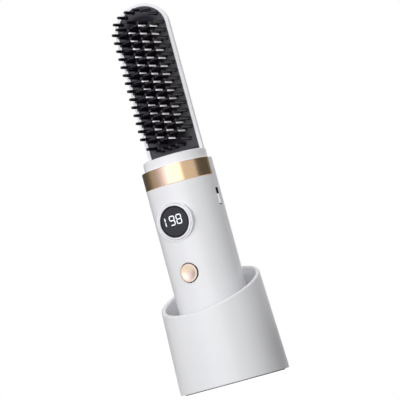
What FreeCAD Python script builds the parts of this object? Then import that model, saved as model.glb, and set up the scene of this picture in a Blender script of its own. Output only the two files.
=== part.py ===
import FreeCAD, Part
import math
import os

# A cordless heated styling brush standing in its charging cup, in millimetres.
# Origin at the centre of the cup's foot, +Z up. Bristles, display and button face -Y.

# Fits that every piece shares
overrun = 2.0             # how far a cut runs past the face that it opens
fit_gap = 0.15            # gap between fixed pieces that slot together
screw_gap = 0.05          # gap round a screw's shank
tolerance = 0.001         # two sizes this close count as equal

# Stand: tapered skirt with a slanted rim, low in front
skirt_foot_radius = 35.6
skirt_rim_radius = 33.4   # where the rim's plane crosses the axis
rim_height = 60.5         # rim's plane on the axis
rim_slope = 19.5          # degrees, rising to the rear
skirt_lift = 0.6          # gap between skirt and table
skirt_wall = 2.8
rim_round = 1.2
seat_height = 30.0        # top of the inner ledge that carries the socket
seat_width = 1.8
seat_thickness = 1.8

# Stand: socket for the handle, hung on the skirt's ledge
socket_gap = 0.4          # running gap round the handle
socket_wall = 2.4
socket_floor = 16.0       # the brush stands at this height
socket_floor_thickness = 2.4
socket_flange = 2.4
socket_mouth = 1.2        # lead-in chamfer
socket_recess = 1.0       # sunk middle of the floor, where the pins stand out
socket_recess_radius = 14.0
stand_boss_radius = 2.8
stand_boss_spread = 13.0  # boss centres from the axis along x and along y

# Stand: bottom cover, foot ring and screws
cover_inset = 0.4         # cover's face above the skirt's lower edge
cover_thickness = 2.4
cover_rebate = 1.2        # step cut into the skirt for the cover's edge
foot_ring_margin = 1.2    # ring's outer edge inside the cover's edge
foot_ring_width = 5.0
foot_ring_sunk = 0.8      # depth of the ring's groove in the cover
stand_screw_radius = 1.2
stand_screw_head_radius = 2.3
stand_screw_head = 1.2
stand_screw_length = 9.0

# Stand: charging board, inlet and sprung contact pins
charge_board_drop = 5.6   # from the socket's underside to the board
charge_board_thickness = 1.6
charge_board_width = 18.0
charge_board_front = 12.0
charge_board_rear = 18.0
charge_tongue_width = 11.6
charge_tongue_gap = 1.2   # board's tongue to the skirt's inside
charge_post_radius = 1.9
charge_post_front = 8.5
charge_post_rear = 13.0
charge_screw_radius = 0.9
charge_screw_head_radius = 1.7
charge_screw_head = 1.0
charge_screw_length = 5.0
inlet_width = 8.9
inlet_height = 3.2
inlet_depth = 7.3
inlet_wall = 0.4
inlet_recess = 0.8        # mouth behind the skirt's face
inlet_tongue_width = 6.6
inlet_tongue_thickness = 0.7
inlet_tongue_short = 1.0  # tongue's end behind the mouth
inlet_slot_gap = 0.3
pin_spread = 5.0
pin_radius = 0.9
pin_slack = 0.1
pin_barrel_radius = 1.5
pin_barrel_base = 1.0
pin_barrel_short = 0.4    # barrel's mouth below the sunk floor
pin_hole_gap = 0.4
pin_tail = 3.0            # pin's length inside its barrel
pin_round = 0.4

# Handle: two half shells that meet in the plane y = 0
handle_radius = 23.0
handle_wall = 2.4
handle_length = 126.4     # from the end cap's foot to the gold band's top
handle_edge_round = 0.8
seam_groove = 0.25        # depth of the V where the half shells meet
key_drop = 4.6            # from the handle's top to the rib that holds the collar
key_height = 2.6
key_depth = 1.8

# Handle: end cap with its screws and contact pads
end_cap_thickness = 2.4
end_cap_inset = 0.2
end_cap_chamfer = 0.8
end_cap_spigot = 3.6
end_cap_spigot_wall = 2.0
cap_boss_radius = 3.0
cap_boss_height = 11.0
cap_boss_sunk = 0.8       # boss's bite into the shell's wall
cap_screw_radius = 1.1
cap_screw_head_radius = 2.2
cap_screw_head = 1.1
cap_screw_sunk = 0.2
cap_screw_length = 9.0
pad_window_radius = 2.3
pad_window_depth = 1.0
pad_radius = 3.0
pad_thickness = 0.8
pad_tail_radius = 0.6
pad_tail = 2.4

# Handle: gold band round the front half of the top
band_height = 11.8
band_thickness = 1.15
band_gap = 0.05
band_edge = 0.35

# Neck: collar that keys into the handle and carries the head
collar_radius = 20.6
collar_height = 6.6
collar_round = 1.4
collar_plate = 2.6
collar_spigot = 10.9
collar_wall = 3.9
wire_hole_radius = 3.0
neck_offset = 11.0        # wire hole and screws behind the axis
neck_screw_spread = 8.5
neck_screw_radius = 1.1
neck_screw_head_radius = 2.0
neck_screw_head = 1.2
neck_screw_bite = 3.6
neck_boss_radius = 2.4
neck_boss_height = 2.6

# Head: half-round shell with a flat front frame and a domed end
head_radius = 20.05
head_straight = 84.0
head_dome = 16.8
head_face = 2.9           # flat front, behind the axis
head_wall = 1.6
head_floor = 2.0
frame_thickness = 2.0

# Head: comb plate set into the frame
comb_recess = 0.3         # plate's face behind the frame's face
comb_flange = 1.2
comb_overlap = 0.35       # flange's reach behind the frame

# Head: heater plate and its fins
heater_gap = 0.3
heater_thickness = 2.6
heater_width = 25.0
heater_end = 2.8          # from each screw's axis to the plate's end
fin_width = 5.7
fin_thickness = 1.3
fin_reach = 9.8           # bare metal, from the comb plate's face to the cap
fin_tongue = 1.0          # tongue on the fin's end that the cap is moulded round
fin_tongue_width = 3.6
fin_tongue_thickness = 0.7
fin_cap = 1.7             # cap's length past the bare metal
fin_cap_crown = 0.8       # length of the cap's tapered end
fin_cap_end_share = 0.6   # end section as a share of the fin's
fin_slot_gap = 0.15
fin_spacing = 7.9         # between fin columns
fin_rows = 15
row_pitch = 5.33
row_lift = 9.38           # first row above the comb opening's lower edge

# Head: ceramic element, insulation, clamp and cut-out behind the heater plate
element_width = 12.0
element_thickness = 2.0
element_length = 65.0
mica_thickness = 0.4
mica_margin = 1.5
clamp_width = 10.0
clamp_thickness = 0.8
clamp_foot = 4.4
cutout_radius = 5.0
cutout_thickness = 3.0
heater_screw_radius = 0.9
heater_screw_head_radius = 1.8
heater_screw_head = 1.2
heater_screw_bite = 1.9
heater_boss_radius = 2.2

# Head: eight-sided tapered bristles standing on the comb plate
bristle_sides = 8
bristle_length = 12.2
bristle_root_radius = 1.0
bristle_neck_radius = 0.8
bristle_tip_radius = 0.42
bristle_tip = 0.8
guard_margin = 1.35       # guard bristles' axes to the comb plate's edge
guard_lift = 3.5          # lowest guard row above the comb opening's lower edge
guard_corner_inset = 3.9  # corner bristles' axes to the comb plate's edge
guard_corner_lift = 6.2
guard_arch_count = 6
guard_arch_start_share = 0.19  # first arch bristle's turn from level, as a share of the half turn
guard_foot_count = 4
guard_foot_pitch = 5.27

# Display on a round, flat-topped boss
display_drop = 35.3       # from the handle's top
display_boss_radius = 12.6
display_boss_rise = 0.4   # boss's flat top in front of the handle's surface
display_boss_wall = 1.0
bezel_rise = 0.4
bezel_width = 1.25
bezel_depth = 3.2
bezel_ledge = 0.9
bezel_ledge_thickness = 1.0
bezel_round = 0.4
lens_sunk = 0.35          # lens behind the bezel's face
lens_thickness = 1.0
module_width = 15.6
module_height = 10.6

# Power button, its switch and the control board
button_drop = 68.6        # from the handle's top
button_radius = 6.0
button_gap = 0.35
button_rise = 0.3
button_dish_radius = 4.6
button_dish = 0.55
button_flange = 1.2       # flange's reach past the cap
button_flange_thickness = 1.0
button_flange_gap = 0.3
button_stem_radius = 2.0
button_edge_round = 0.35
button_countersink = 0.35
plunger_radius = 1.6
plunger_slack = 0.1
plunger_rise = 0.9
plunger_length = 2.8
tact_size = 6.0
tact_height = 3.4
tact_floor = 0.5
board_offset = 10.0       # front face ahead of the axis
board_thickness = 1.6
board_width = 28.0
board_length = 75.0
board_drop = 15.4         # from the handle's top
post_radius = 2.2
post_spread = 11.5
post_inset = 5.0
board_screw_radius = 0.9
board_screw_head_radius = 1.7
board_screw_head = 1.0
board_screw_bite = 4.0

# Slide switch on the right-hand seam
slot_drop = 20.4          # slot's upper end, from the handle's top
slot_length = 11.1
slot_width = 3.2
knob_length = 6.4
knob_width = 2.8
knob_rise = 0.85
knob_foot_gap = 0.6       # knob's lower end to the slot's lower end
knob_round = 0.5
knob_bite = 2.5           # knob's stem inside the switch
switch_width = 7.6
switch_height = 15.0
switch_depth = 5.9
switch_seat_gap = 0.35
switch_slot_floor = 3.0
switch_rib = 1.6

# Battery cells side by side in a cradle
cell_radius = 8.1
cell_length = 65.0
cell_gap = 0.6
cell_wall_gap = 0.35
cell_lift = 0.3
cradle_gap = 0.2
cradle_front = 5.0        # front face ahead of the axis
cradle_bite = 4.0         # how far it reaches round the cells
cradle_length = 62.0
cradle_lift = 2.0

# Heights and radii that follow from the sizes above
handle_foot = socket_floor
handle_top = handle_foot + handle_length
shell_foot = handle_foot + end_cap_thickness
handle_inner = handle_radius - handle_wall
band_foot = handle_top - band_height
key_top = handle_top - key_drop
collar_top = handle_top + collar_height
head_foot = collar_top
dome_foot = head_foot + head_straight
head_top = dome_foot + head_dome
head_inner = head_radius - head_wall
comb_face = head_face + comb_recess
frame_back = head_face + frame_thickness
comb_back = frame_back + comb_flange
comb_foot = head_foot + head_floor
comb_flange_width = math.sqrt(head_inner ** 2 - comb_back ** 2) - fit_gap
comb_flange_arch = (head_dome - head_wall) * comb_flange_width / head_inner
opening_width = comb_flange_width - comb_overlap
opening_arch = comb_flange_arch - comb_overlap
comb_width = opening_width - fit_gap
comb_arch = opening_arch - fit_gap
fin_shoulder = comb_face - fin_reach
heater_front = comb_back + heater_gap
heater_back = heater_front + heater_thickness
first_row = comb_foot + row_lift
last_row = first_row + (fin_rows - 1) * row_pitch
heater_screw_clear = fin_thickness / 2 + fin_slot_gap + heater_boss_radius + fit_gap
heater_screw_low = first_row - heater_screw_clear
heater_screw_high = last_row + heater_screw_clear
heater_foot = heater_screw_low - heater_end
heater_top = heater_screw_high + heater_end
element_back = heater_back + element_thickness
mica_back = element_back + mica_thickness
clamp_back = mica_back + clamp_thickness
socket_radius = handle_radius + socket_gap
socket_underside = socket_floor - socket_floor_thickness
cover_radius = skirt_foot_radius - skirt_wall + cover_rebate - fit_gap
foot_ring_radius = cover_radius - foot_ring_margin
cover_foot = skirt_lift + cover_inset
cover_top = cover_foot + cover_thickness
charge_board_top = socket_underside - charge_board_drop
charge_board_foot = charge_board_top - charge_board_thickness
inlet_height_centre = charge_board_top + inlet_height / 2
skirt_taper = (skirt_foot_radius - skirt_rim_radius) / (rim_height - skirt_lift)
pin_floor = socket_floor - socket_recess
pin_barrel_top = pin_floor - pin_barrel_short
pad_seat = handle_foot + pad_window_depth
display_height = handle_top - display_drop
display_front = handle_radius + display_boss_rise
bezel_radius = display_boss_radius - display_boss_wall - fit_gap
lens_radius = bezel_radius - bezel_width - fit_gap
bezel_back = display_front - bezel_depth
button_height = handle_top - button_drop
button_flange_radius = button_radius + button_flange
button_flange_front = math.sqrt(handle_inner ** 2 - button_flange_radius ** 2) - button_flange_gap
tact_front = board_offset + tact_height
plunger_front = tact_front + plunger_rise
board_back = board_offset - board_thickness
board_top = handle_top - board_drop
slot_top = handle_top - slot_drop
slot_foot = slot_top - slot_length
slot_height = (slot_top + slot_foot) / 2
knob_foot = slot_foot + knob_foot_gap
switch_face = math.sqrt(handle_inner ** 2 - (switch_width / 2) ** 2) - switch_seat_gap
cell_spread = cell_radius + cell_gap / 2
cell_offset = math.sqrt((handle_inner - cell_wall_gap - cell_radius) ** 2 - cell_spread ** 2)
cell_foot = shell_foot + end_cap_spigot + cell_lift
cap_boss_offset = handle_inner + cap_boss_sunk - cap_boss_radius

up = FreeCAD.Vector(0, 0, 1)
rearward = FreeCAD.Vector(0, 1, 0)
left_and_right = (-1, 1)
front_and_rear = (-1, 1)


def disc(radius, foot, top, x=0, y=0):
    """Upright cylinder between two heights."""
    return Part.makeCylinder(radius, top - foot, FreeCAD.Vector(x, y, foot), up)


def rod(radius, front, back, x, height):
    """Cylinder that lies along y, between two depths."""
    return Part.makeCylinder(radius, back - front, FreeCAD.Vector(x, front, height), rearward)


def block(x_low, x_high, y_low, y_high, z_low, z_high):
    """Box between two corners."""
    corner = FreeCAD.Vector(x_low, y_low, z_low)
    return Part.makeBox(x_high - x_low, y_high - y_low, z_high - z_low, corner)


def ring(outer, inner, foot, top):
    """Upright tube between two heights."""
    return disc(outer, foot, top).cut(disc(inner, foot - overrun, top + overrun))


def flat_face(corners):
    """Flat face round its corners."""
    return Part.Face(Part.makePolygon(corners + corners[:1]))


def screw_up(radius, head_radius, head, length, x, y, foot):
    """Screw driven upwards, its head's face at the foot height."""
    shank = disc(radius, foot + head, foot + head + length, x, y)
    return disc(head_radius, foot, foot + head, x, y).fuse(shank).removeSplitter()


def screw_forward(radius, head_radius, head, length, x, seat, height):
    """Screw driven towards the front, its head resting on the seat's depth."""
    shank = rod(radius, seat - length, seat, x, height)
    return rod(head_radius, seat, seat + head, x, height).fuse(shank).removeSplitter()


def level_circles(shape, radius, height):
    """Circular edges round the upright axis at one radius and height."""
    found = []
    for edge in shape.Edges:
        curve = edge.Curve
        if not isinstance(curve, Part.Circle):
            continue
        same_radius = abs(curve.Radius - radius) < tolerance
        if same_radius and abs(curve.Center.z - height) < tolerance:
            found.append(edge)
    return found


def facing_circles(shape, radius, depth):
    """Circular edges in one upright plane that faces the front."""
    found = []
    for edge in shape.Edges:
        curve = edge.Curve
        if not isinstance(curve, Part.Circle):
            continue
        same_radius = abs(curve.Radius - radius) < tolerance
        if same_radius and abs(curve.Center.y - depth) < tolerance:
            found.append(edge)
    return found


def quarter_ellipse(half_width, rise, foot, depth=0):
    """Edge from the side of an arch at foot height up to its crown on the axis."""
    side = FreeCAD.Vector(half_width, depth, foot)
    crown = FreeCAD.Vector(0, depth, foot + rise)
    centre = FreeCAD.Vector(0, depth, foot)
    if half_width >= rise:
        curve = Part.Ellipse(side, crown, centre)
    else:
        curve = Part.Ellipse(crown, side, centre)
    start = curve.parameter(side)
    end = curve.parameter(crown)
    if abs(end - start) > math.pi:
        start, end = max(start, end), min(start, end) + math.tau
    return Part.Arc(curve, min(start, end), max(start, end)).toShape()


def arched_face(half_width, rise, foot, springing, depth):
    """Upright face with straight sides and an elliptical arch on top."""
    right_arc = quarter_ellipse(half_width, rise, springing, depth)
    left_arc = right_arc.mirror(FreeCAD.Vector(0, depth, 0), FreeCAD.Vector(1, 0, 0))
    lower_left = FreeCAD.Vector(-half_width, depth, foot)
    lower_right = FreeCAD.Vector(half_width, depth, foot)
    right_side = Part.makeLine(lower_right, FreeCAD.Vector(half_width, depth, springing))
    left_side = Part.makeLine(FreeCAD.Vector(-half_width, depth, springing), lower_left)
    sill = Part.makeLine(lower_left, lower_right)
    edges = Part.sortEdges([sill, right_side, right_arc, left_arc, left_side])[0]
    return Part.Face(Part.Wire(edges))


def arched_slab(half_width, rise, foot, springing, front, back):
    """Slab with an arched outline, between two depths."""
    face = arched_face(half_width, rise, foot, springing, front)
    return face.extrude(FreeCAD.Vector(0, back - front, 0))


def domed_body(radius, rise, foot, springing):
    """Upright solid of revolution: a cylinder under an elliptical dome."""
    axis_foot = FreeCAD.Vector(0, 0, foot)
    rim_foot = FreeCAD.Vector(radius, 0, foot)
    rim_top = FreeCAD.Vector(radius, 0, springing)
    crown = FreeCAD.Vector(0, 0, springing + rise)
    edges = [
        Part.makeLine(axis_foot, rim_foot),
        Part.makeLine(rim_foot, rim_top),
        quarter_ellipse(radius, rise, springing),
        Part.makeLine(crown, axis_foot),
    ]
    wire = Part.Wire(Part.sortEdges(edges)[0])
    return Part.Face(wire).revolve(FreeCAD.Vector(0, 0, 0), up, 360)


def skirt_radius(height):
    """Outer radius of the stand's skirt at a height."""
    return skirt_foot_radius - skirt_taper * (height - skirt_lift)


def skirt_cone(inset, foot, top):
    """Solid cone that follows the skirt, inset from its outer face."""
    foot_radius = skirt_radius(foot) - inset
    top_radius = skirt_radius(top) - inset
    return Part.makeCone(foot_radius, top_radius, top - foot, FreeCAD.Vector(0, 0, foot), up)


def space_above_rim():
    """Everything above the rim's slanted plane."""
    reach = skirt_foot_radius + skirt_foot_radius
    space = block(-reach, reach, -reach, reach, 0, reach)
    space.rotate(FreeCAD.Vector(0, 0, 0), FreeCAD.Vector(1, 0, 0), rim_slope)
    space.translate(FreeCAD.Vector(0, 0, rim_height))
    return space


def rim_edges(shape):
    """Edges of the narrow face that lies in the rim's plane."""
    slope = math.radians(rim_slope)
    normal = FreeCAD.Vector(0, -math.sin(slope), math.cos(slope))
    level = rim_height * math.cos(slope)
    found = []
    for face in shape.Faces:
        if abs(face.CenterOfMass.dot(normal) - level) < tolerance:
            found.extend(face.Edges)
    return found


def inlet_mouth_depth():
    """Depth of the inlet's mouth, just inside the skirt's face."""
    return skirt_radius(inlet_height_centre) - inlet_recess


def rounded_slot(width, height, front, back, centre_height):
    """Flat-sided bar with round ends in x, lying along y."""
    round_radius = height / 2
    half_flat = width / 2 - round_radius
    low = centre_height - round_radius
    bar = block(-half_flat, half_flat, front, back, low, low + height)
    for side in left_and_right:
        bar = bar.fuse(rod(round_radius, front, back, side * half_flat, centre_height))
    return bar.removeSplitter()


def stand_shell():
    """Tapered outer cup: slanted rounded rim, inner ledge, rebate below and slot for the inlet."""
    top = rim_height + skirt_foot_radius
    shell = skirt_cone(0, skirt_lift, top).cut(skirt_cone(skirt_wall, skirt_lift, top))
    shell = shell.cut(space_above_rim())
    shell = shell.makeFillet(rim_round, rim_edges(shell))
    ledge_foot = seat_height - seat_thickness
    ledge = skirt_cone(skirt_wall / 2, ledge_foot, seat_height)
    ledge = ledge.cut(skirt_cone(skirt_wall + seat_width, ledge_foot, seat_height))
    rebate_radius = cover_radius + fit_gap
    slot_clear = inlet_slot_gap + inlet_slot_gap
    slot = rounded_slot(
        inlet_width + slot_clear,
        inlet_height + slot_clear,
        skirt_radius(cover_top) - skirt_wall - cover_rebate,
        skirt_foot_radius + overrun,
        inlet_height_centre,
    )
    shell = shell.fuse(ledge).cut(disc(rebate_radius, skirt_lift - overrun, cover_top))
    return shell.cut(slot).removeSplitter()


def stand_boss_places():
    """Centres of the four screw bosses under the socket."""
    places = []
    for side in left_and_right:
        for end in front_and_rear:
            places.append((side * stand_boss_spread, end * stand_boss_spread))
    return places


def charge_post_depths():
    """Depths of the two posts that carry the charging board."""
    return (-charge_post_front, charge_post_rear)


def stand_socket():
    """Socket that the handle stands in: flanged tube, floor, screw bosses and board posts."""
    outer = socket_radius + socket_wall
    flange_top = seat_height + socket_flange
    flange_radius = skirt_radius(flange_top) - skirt_wall - fit_gap
    body = disc(outer, socket_underside, flange_top)
    body = body.fuse(disc(flange_radius, seat_height, flange_top))
    for x, y in stand_boss_places():
        body = body.fuse(disc(stand_boss_radius, cover_top, socket_underside, x, y))
    for y in charge_post_depths():
        body = body.fuse(disc(charge_post_radius, charge_board_top, socket_underside, 0, y))
    body = body.removeSplitter()
    well = disc(socket_radius, socket_floor, flange_top + overrun)
    mouth = Part.makeCone(
        socket_radius,
        socket_radius + socket_mouth,
        socket_mouth,
        FreeCAD.Vector(0, 0, flange_top - socket_mouth),
        up,
    )
    sunk_floor = disc(socket_recess_radius, pin_floor, socket_floor + overrun)
    body = body.cut(well).cut(mouth).cut(sunk_floor)
    for x, y in stand_boss_places():
        hole_top = cover_foot + stand_screw_head + stand_screw_length + overrun
        hole_top = min(hole_top, socket_underside)
        body = body.cut(disc(stand_screw_radius + screw_gap, cover_top - overrun, hole_top, x, y))
    for y in charge_post_depths():
        hole_top = charge_board_foot + charge_screw_length + screw_gap
        body = body.cut(disc(charge_screw_radius + screw_gap, charge_board_foot, hole_top, 0, y))
    for side in left_and_right:
        hole_radius = pin_barrel_radius + pin_hole_gap
        hole = disc(hole_radius, socket_underside - overrun, socket_floor + overrun, side * pin_spread)
        body = body.cut(hole)
    return body


def stand_cover():
    """Round bottom cover with a groove for the foot ring and sunk screw heads."""
    cover = disc(cover_radius, cover_foot, cover_top)
    groove_inner = foot_ring_radius - foot_ring_width - fit_gap
    groove = ring(foot_ring_radius + fit_gap, groove_inner, cover_foot - overrun, cover_foot + foot_ring_sunk)
    cover = cover.cut(groove)
    sink_top = cover_foot + stand_screw_head
    for x, y in stand_boss_places():
        sink = disc(stand_screw_head_radius + fit_gap, cover_foot - overrun, sink_top, x, y)
        hole = disc(stand_screw_radius + screw_gap, cover_foot, cover_top + overrun, x, y)
        cover = cover.cut(sink).cut(hole)
    return cover


def stand_foot_ring():
    """Soft ring that stands on the table."""
    return ring(foot_ring_radius, foot_ring_radius - foot_ring_width, 0, cover_foot + foot_ring_sunk)


def stand_screws():
    """Four screws that pull the cover up to the socket and clamp the skirt between them."""
    screws = []
    for x, y in stand_boss_places():
        screws.append(screw_up(
            stand_screw_radius,
            stand_screw_head_radius,
            stand_screw_head,
            stand_screw_length,
            x,
            y,
            cover_foot,
        ))
    return Part.makeCompound(screws)


def charge_board():
    """Charging board with a tongue that reaches back under the inlet."""
    half = charge_board_width / 2
    half_tongue = charge_tongue_width / 2
    tongue_end = skirt_radius(charge_board_foot) - skirt_wall - charge_tongue_gap
    board = block(-half, half, -charge_board_front, charge_board_rear, charge_board_foot, charge_board_top)
    tongue = block(-half_tongue, half_tongue, 0, tongue_end, charge_board_foot, charge_board_top)
    board = board.fuse(tongue).removeSplitter()
    hole_radius = charge_screw_radius + screw_gap
    for y in charge_post_depths():
        hole = disc(hole_radius, charge_board_foot - overrun, charge_board_top + overrun, 0, y)
        board = board.cut(hole)
    return board


def charge_screws():
    """Two screws that hold the charging board up to its posts."""
    screws = []
    for y in charge_post_depths():
        screws.append(screw_up(
            charge_screw_radius,
            charge_screw_head_radius,
            charge_screw_head,
            charge_screw_length,
            0,
            y,
            charge_board_foot - charge_screw_head,
        ))
    return Part.makeCompound(screws)


def charge_inlet():
    """Oval metal inlet with its contact tongue, mouth to the rear."""
    mouth = inlet_mouth_depth()
    front = mouth - inlet_depth
    walls = inlet_wall + inlet_wall
    shell = rounded_slot(inlet_width, inlet_height, front, mouth, inlet_height_centre)
    hollow = rounded_slot(
        inlet_width - walls, inlet_height - walls, front + inlet_wall, mouth + overrun, inlet_height_centre)
    half_tongue = inlet_tongue_width / 2
    half_thick = inlet_tongue_thickness / 2
    tongue = block(
        -half_tongue,
        half_tongue,
        front,
        mouth - inlet_tongue_short,
        inlet_height_centre - half_thick,
        inlet_height_centre + half_thick,
    )
    return shell.cut(hollow).fuse(tongue).removeSplitter()


def pin_barrels():
    """Two barrels that stand on the charging board and guide the contact pins."""
    barrels = []
    for side in left_and_right:
        x = side * pin_spread
        barrel = disc(pin_barrel_radius, charge_board_top, pin_barrel_top, x)
        bore = disc(pin_radius + pin_slack, charge_board_top + pin_barrel_base, pin_barrel_top + overrun, x)
        barrels.append(barrel.cut(bore))
    return Part.makeCompound(barrels)


def contact_pin(side):
    """Sprung pin with a rounded tip, just touching the handle's pad."""
    pin = disc(pin_radius, pin_barrel_top - pin_tail, handle_foot, side * pin_spread)
    return pin.makeFillet(pin_round, level_circles(pin, pin_radius, handle_foot))


def seam_bar(side):
    """Upright bar with a diamond section whose inner corner cuts the V along a seam."""
    x = side * handle_radius
    foot = shell_foot - overrun
    corners = [
        FreeCAD.Vector(x - seam_groove, 0, foot),
        FreeCAD.Vector(x, seam_groove, foot),
        FreeCAD.Vector(x + seam_groove, 0, foot),
        FreeCAD.Vector(x, -seam_groove, foot),
    ]
    return flat_face(corners).extrude(FreeCAD.Vector(0, 0, handle_length + overrun + overrun))


def handle_tube():
    """Whole handle tube with the rib that keys the collar, before it is split."""
    tube = disc(handle_radius, shell_foot, handle_top)
    tube = tube.makeFillet(handle_edge_round, level_circles(tube, handle_radius, handle_top))
    tube = tube.cut(disc(handle_inner, shell_foot - overrun, handle_top + overrun))
    rib = ring(handle_inner + handle_wall / 2, handle_inner - key_depth, key_top - key_height, key_top)
    tube = tube.fuse(rib).removeSplitter()
    for side in left_and_right:
        tube = tube.cut(seam_bar(side))
    return tube


def half_space(side):
    """Room for one half of the handle, in front of or behind the seam."""
    reach = handle_radius + handle_radius
    near = min(0, side * reach)
    return block(-reach, reach, near, near + reach, 0, head_top)


def inside_wall(shape):
    """The part of a rib or boss that stays inside the middle of the handle's wall."""
    return shape.common(disc(handle_radius - handle_wall / 2, 0, head_top))


def cap_boss(side):
    """Boss on a half shell that takes an end cap screw."""
    top = shell_foot + cap_boss_height
    return inside_wall(disc(cap_boss_radius, shell_foot, top, 0, side * cap_boss_offset))


def cap_screw_hole(side):
    """Hole that the end cap's screw runs in."""
    foot = handle_foot - overrun
    top = handle_foot + cap_screw_sunk + cap_screw_head + cap_screw_length + screw_gap
    return disc(cap_screw_radius + screw_gap, foot, top, 0, side * cap_boss_offset)


def switch_slot():
    """Slot for the slide switch's knob, across the seam."""
    half = slot_width / 2
    return block(handle_inner - handle_wall, handle_radius + overrun, -half, half, slot_foot, slot_top)


def post_places():
    """Places of the four posts that carry the control board."""
    places = []
    for side in left_and_right:
        for height in (board_top - post_inset, board_top - board_length + post_inset):
            places.append((side * post_spread, height))
    return places


def handle_front_shell():
    """Front half shell: seat for the band, display boss, button hole and board posts."""
    shell = handle_tube().common(half_space(-1))
    band_seat = handle_radius - band_thickness - band_gap
    seat_cut = ring(handle_radius + overrun, band_seat, band_foot, handle_top + overrun)
    shell = shell.cut(seat_cut).fuse(cap_boss(-1))
    for x, height in post_places():
        shell = shell.fuse(inside_wall(rod(post_radius, -handle_radius, -board_offset, x, height)))
    boss_back = math.sqrt(handle_inner ** 2 - display_boss_radius ** 2)
    shell = shell.fuse(rod(display_boss_radius, -display_front, -boss_back, 0, display_height))
    shell = shell.removeSplitter()
    bezel_hole = bezel_radius + fit_gap
    shell = shell.cut(rod(bezel_hole, -display_front - overrun, -bezel_back, 0, display_height))
    module_hole = bezel_hole - bezel_width
    shell = shell.cut(rod(module_hole, -display_front, -boss_back + overrun, 0, display_height))
    button_hole = button_radius + button_gap
    shell = shell.cut(rod(button_hole, -handle_radius - overrun, -button_flange_front, 0, button_height))
    countersink = Part.makeCone(
        button_hole + button_countersink + button_countersink,
        button_hole,
        button_countersink + button_countersink,
        FreeCAD.Vector(0, -handle_radius - button_countersink, button_height),
        rearward,
    )
    shell = shell.cut(countersink)
    hole_front = -board_offset - board_screw_bite - screw_gap
    for x, height in post_places():
        shell = shell.cut(rod(
            board_screw_radius + screw_gap, hole_front, -board_offset + overrun, x, height))
    return shell.cut(cap_screw_hole(-1)).cut(switch_slot())


def handle_rear_shell():
    """Plain rear half shell with two ribs that locate the slide switch."""
    shell = handle_tube().common(half_space(1)).fuse(cap_boss(1))
    half_switch = switch_height / 2 + fit_gap
    rib_start = switch_face - switch_depth / 2
    for foot in (slot_height - half_switch - switch_rib, slot_height + half_switch):
        rib = block(rib_start, handle_radius, 0, switch_width / 2, foot, foot + switch_rib)
        shell = shell.fuse(inside_wall(rib))
    return shell.removeSplitter().cut(cap_screw_hole(1)).cut(switch_slot())


def gold_trim_band():
    """Half ring set flush into the front shell, its outer edges eased."""
    band = disc(handle_radius, band_foot, handle_top)
    edges = level_circles(band, handle_radius, band_foot) + level_circles(band, handle_radius, handle_top)
    band = band.makeFillet(band_edge, edges)
    band = band.cut(disc(handle_radius - band_thickness, band_foot - overrun, handle_top + overrun))
    return band.common(half_space(-1))


def handle_end_cap():
    """Cap that closes the handle: spigot, contact windows and sunk screw heads."""
    radius = handle_radius - end_cap_inset
    cap = disc(radius, handle_foot, shell_foot)
    cap = cap.makeChamfer(end_cap_chamfer, level_circles(cap, radius, handle_foot))
    spigot_radius = handle_inner - fit_gap
    spigot = ring(spigot_radius, spigot_radius - end_cap_spigot_wall, shell_foot, shell_foot + end_cap_spigot)
    for side in front_and_rear:
        boss_room = disc(
            cap_boss_radius + fit_gap, shell_foot, shell_foot + cap_boss_height, 0, side * cap_boss_offset)
        spigot = spigot.cut(boss_room)
    cap = cap.fuse(spigot).removeSplitter()
    for side in front_and_rear:
        sink_top = handle_foot + cap_screw_sunk + cap_screw_head
        sink = disc(
            cap_screw_head_radius + fit_gap, handle_foot - overrun, sink_top, 0, side * cap_boss_offset)
        cap = cap.cut(sink).cut(cap_screw_hole(side))
    for side in left_and_right:
        x = side * pin_spread
        cap = cap.cut(disc(pad_window_radius, handle_foot - overrun, shell_foot + overrun, x))
        cap = cap.cut(disc(pad_radius + screw_gap, pad_seat, shell_foot + overrun, x))
    return cap


def end_cap_screws():
    """Two screws that draw the cap and both half shells together."""
    screws = []
    for side in front_and_rear:
        screws.append(screw_up(
            cap_screw_radius,
            cap_screw_head_radius,
            cap_screw_head,
            cap_screw_length,
            0,
            side * cap_boss_offset,
            handle_foot + cap_screw_sunk,
        ))
    return Part.makeCompound(screws)


def contact_pads():
    """Two charging pads, flush in the end cap's windows, each with a shoulder and a solder tail."""
    pads = []
    for side in left_and_right:
        x = side * pin_spread
        pad_top = pad_seat + pad_thickness
        face = disc(pad_window_radius - screw_gap, handle_foot, pad_seat, x)
        shoulder = disc(pad_radius, pad_seat, pad_top, x)
        tail = disc(pad_tail_radius, pad_top, pad_top + pad_tail, x)
        pads.append(face.fuse(shoulder).fuse(tail).removeSplitter())
    return Part.makeCompound(pads)


def neck_collar():
    """Collar with a grooved spigot that the half shells grip, and a plate that carries the head."""
    spigot_radius = handle_inner - fit_gap
    spigot_foot = handle_top - collar_spigot
    collar = disc(collar_radius, handle_top, collar_top)
    collar = collar.makeFillet(collar_round, level_circles(collar, collar_radius, collar_top))
    collar = collar.fuse(disc(spigot_radius, spigot_foot, handle_top)).removeSplitter()
    groove_foot = key_top - key_height - fit_gap
    groove_radius = handle_inner - key_depth - fit_gap
    collar = collar.cut(ring(spigot_radius + overrun, groove_radius, groove_foot, key_top + fit_gap))
    collar = collar.cut(disc(spigot_radius - collar_wall, spigot_foot - overrun, collar_top - collar_plate))
    return collar.cut(neck_holes())


def neck_holes():
    """Wire hole and screw holes through the collar's plate and the head's floor."""
    foot = collar_top - collar_plate - overrun
    top = head_foot + head_floor + neck_boss_height + overrun
    holes = disc(wire_hole_radius, foot, top, 0, neck_offset)
    screw_hole = neck_screw_radius + screw_gap
    for side in left_and_right:
        holes = holes.fuse(disc(screw_hole, foot, top, side * neck_screw_spread, neck_offset))
    return holes


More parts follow.
